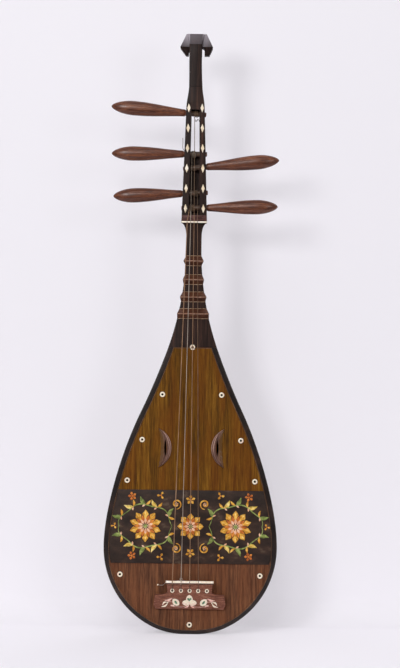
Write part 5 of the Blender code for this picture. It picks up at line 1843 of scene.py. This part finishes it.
def knot_and_hole(x, thin):
    """Knot under the lip, up through the hole and over the eyelet: points and radii."""
    knot_rise = LIP_UNDERSIDE - AIR - KNOT_RADIUS
    points, radii = [], []
    for i in range(7):
        angle = math.pi * i / 6
        points.append(place(x, KNOT_RADIUS * math.cos(angle) - knot_rise, HOLE_HEIGHT))
        radii.append(max(KNOT_RADIUS * math.sin(angle), thin))
    turn = HOLE_RADIUS * 0.8
    over = eyelet_top_rise + AIR + thin
    for i in range(4):
        angle = math.pi / 2 * i / 3
        z = HOLE_HEIGHT + turn * (1 - math.cos(angle))
        points.append(place(x, turn * (1 - math.sin(angle)) - over, z))
        radii.append(thin)
    return points, radii


def winding(centre, axis, arrive, x_start, way, diameter):
    """Turns round a peg's shaft, from where a string coming from arrive touches them."""
    front = Vector((0.0, -1.0, 0.0))
    up = front.cross(axis) * math.copysign(1.0, axis.x)
    along_start = (x_start - centre.x) / axis.x
    pitch = (diameter + TURN_GAP) * way * math.copysign(1.0, axis.x)
    along_end = along_start + pitch * STRING_TURNS
    radius = max(shaft_radius(along_start), shaft_radius(along_end)) + AIR + diameter / 2
    offset = arrive - centre
    flat = Vector((offset.dot(front), offset.dot(up)))
    touch = math.atan2(flat.y, flat.x) + math.acos(radius / flat.length)
    points = []
    for i in range(STRING_TURNS * POINTS_PER_TURN + 1):
        turn = i / POINTS_PER_TURN
        angle = touch + 2 * math.pi * turn
        out = front * math.cos(angle) + up * math.sin(angle)
        points.append(centre + axis * (along_start + pitch * turn) + out * radius)
    last = (points[-1] - points[-2]).normalized()
    return points + [points[-1] + last * diameter]


for name, string_place, peg, x_start, way, diameter in STRINGS:
    thin = diameter / 2
    middle_place = (STRING_PLACES - 1) / 2
    hole_x = (string_place - middle_place) * HOLE_PITCH
    nut_x = (string_place - middle_place) * NUT_PITCH
    points, radii = knot_and_hole(hole_x, thin)
    over = face_y - saddle_low.y + AIR + thin
    points += [place(hole_x, -over, saddle_low.z), place(hole_x, -over, saddle_high.z)]
    over = face_y - nut_low.y + AIR + thin
    points += [place(nut_x, -over, nut_low.z), place(nut_x, -over, nut_high.z)]
    side, height, tilt = next(entry[1:4] for entry in PEGS if entry[0] == peg)
    turned = peg_matrix(side, height, tilt)
    axis = (turned @ Vector((0.0, 0.0, 1.0))) - turned.translation
    edge_x = nut_x + (x_start - nut_x) * (block_high.z - neck_top) / height
    arrive = place(edge_x, block_low.y - face_y - AIR - thin, block_high.z)
    points.append(arrive)
    points += winding(turned.translation, axis, arrive, x_start, way, diameter)
    radii += [thin] * (len(points) - len(radii))
    silk = STRING_SILKS.get(name, SILK)
    finish_piece(
        f"{name}_silk", tube(points, radii, diameter), silk, replaces=(name,), sharp=60)
    length = sum((b - a).length for a, b in zip(points, points[1:]))
    print(name, "length", round(length, 3), "m")


def below_saddle(tree):
    """The silk between its hole and the saddle is darkened to a deep brown."""
    low = add_node(
        tree, "ShaderNodeMapRange", object_axis(tree, "Z"), saddle_low.z - 0.0008, saddle_low.z,
        0.85, 0.0)
    beside = add_node(tree, "ShaderNodeMath", object_axis(tree, "X"), operation="ABSOLUTE")
    on_bridge_lip = add_node(tree, "ShaderNodeMapRange", beside, 0.044, 0.048, 1.0, 0.0)
    return add_node(tree, "ShaderNodeMath", low, on_bridge_lip, operation="MULTIPLY")


def painted_box_shade(tree):
    """Painted shade on the windings inside the peg box."""
    return add_node(
        tree, "ShaderNodeMapRange", object_axis(tree, "Z"), block_high.z, block_high.z + 0.012,
        0.0, 0.7)


for silk in (SILK, GREY_SILK, BROWN_SILK):
    lay_over(silk, below_saddle, "#3a231b")
    # Painted shade on the silk in the peg box
    lay_over(silk, painted_box_shade, "#4a3c2c")
print("silk browned")

# %% [markdown]
# ## Loose ends
# Old strings leave ends behind: a curl below the uppermost peg, one standing beside the left
# cheek, a small loop above the saddle and a loose bit at the saddle's left end. Each route is a
# few listed points, and a curve through them makes it smooth.

# %% Loose ends of silk
def smooth_route(points, steps=6):
    """A smooth curve through all the points."""
    spots = [Vector(p) for p in points]
    spots = [2 * spots[0] - spots[1]] + spots + [2 * spots[-1] - spots[-2]]
    route = []
    for a, b, c, d in zip(spots, spots[1:], spots[2:], spots[3:]):
        for i in range(steps):
            t = i / steps
            route.append(
                0.5 * (2 * b + (c - a) * t + (2 * a - 5 * b + 4 * c - d) * t * t
                       + (3 * b - a - 3 * c + d) * t * t * t))
    return route + [spots[-2]]


# Points are (x, rise in front of the board, height) in millimetres
LOOSE_ENDS = (
    ("end_below_peg_1", DARK_SILK, 0.8, (
        (-2.0, -17.0, 931.0), (-1.0, -13.0, 927.5), (1.2, -10.0, 924.5), (4.0, -9.0, 926.8),
        (6.6, -9.5, 925.2), (7.0, -10.5, 922.6))),
    ("end_below_peg_1_short", DARK_SILK, 0.8, (
        (-1.6, -16.5, 930.5), (-1.4, -12.0, 926.4), (0.4, -9.0, 922.8), (3.0, -8.0, 923.8),
        (4.6, -8.5, 926.6))),
    ("end_at_left_cheek", GREY_SILK, 1.0, (
        (-17.4, -9.0, 869.4), (-20.4, -8.0, 871.0), (-22.2, -7.0, 876.0), (-22.0, -6.4, 884.0),
        (-22.3, -6.0, 893.0))),
    ("loop_above_saddle", GREY_SILK, 0.9, (
        (-15.3, 20.0, 98.4), (-13.4, 20.4, 99.6), (-13.3, 20.7, 102.0), (-15.2, 20.8, 103.2),
        (-17.2, 20.7, 102.2), (-17.3, 20.4, 100.2), (-16.0, 20.2, 98.8), (-14.0, 20.0, 98.3))),
    ("end_at_saddle", GREY_SILK, 1.0, (
        (-41.5, 16.4, 95.4), (-43.4, 15.0, 93.6), (-45.6, 10.0, 91.2), (-47.2, 5.0, 89.0),
        (-50.0, 1.4, 87.9), (-54.0, 0.9, 88.0), (-57.5, 0.9, 88.6))),
)
for name, material, wide, points in LOOSE_ENDS:
    route = smooth_route([place(x * MM, -rise * MM, z * MM) for x, rise, z in points])
    radius = wide * MM / 2
    bm = tube(route, [radius] * len(route), wide * MM, sides=10)
    if name == "end_at_saddle":
        bead = Matrix.Translation(route[-1]) @ Matrix.Diagonal((0.0015, 0.0009, 0.0013, 1.0))
        ball = bmesh.ops.create_uvsphere(bm, u_segments=14, v_segments=8, radius=1.0, matrix=bead)
        for face in {f for v in ball["verts"] for f in v.link_faces}:
            face.material_index = 1
    finish_piece(name, bm, (material, SHELL), sharp=60)
print("loose ends", len(LOOSE_ENDS))

# %% Measure the whole and finish
low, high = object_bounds()
print("visual", [round(side * 1000, 1) for side in high - low], "mm")
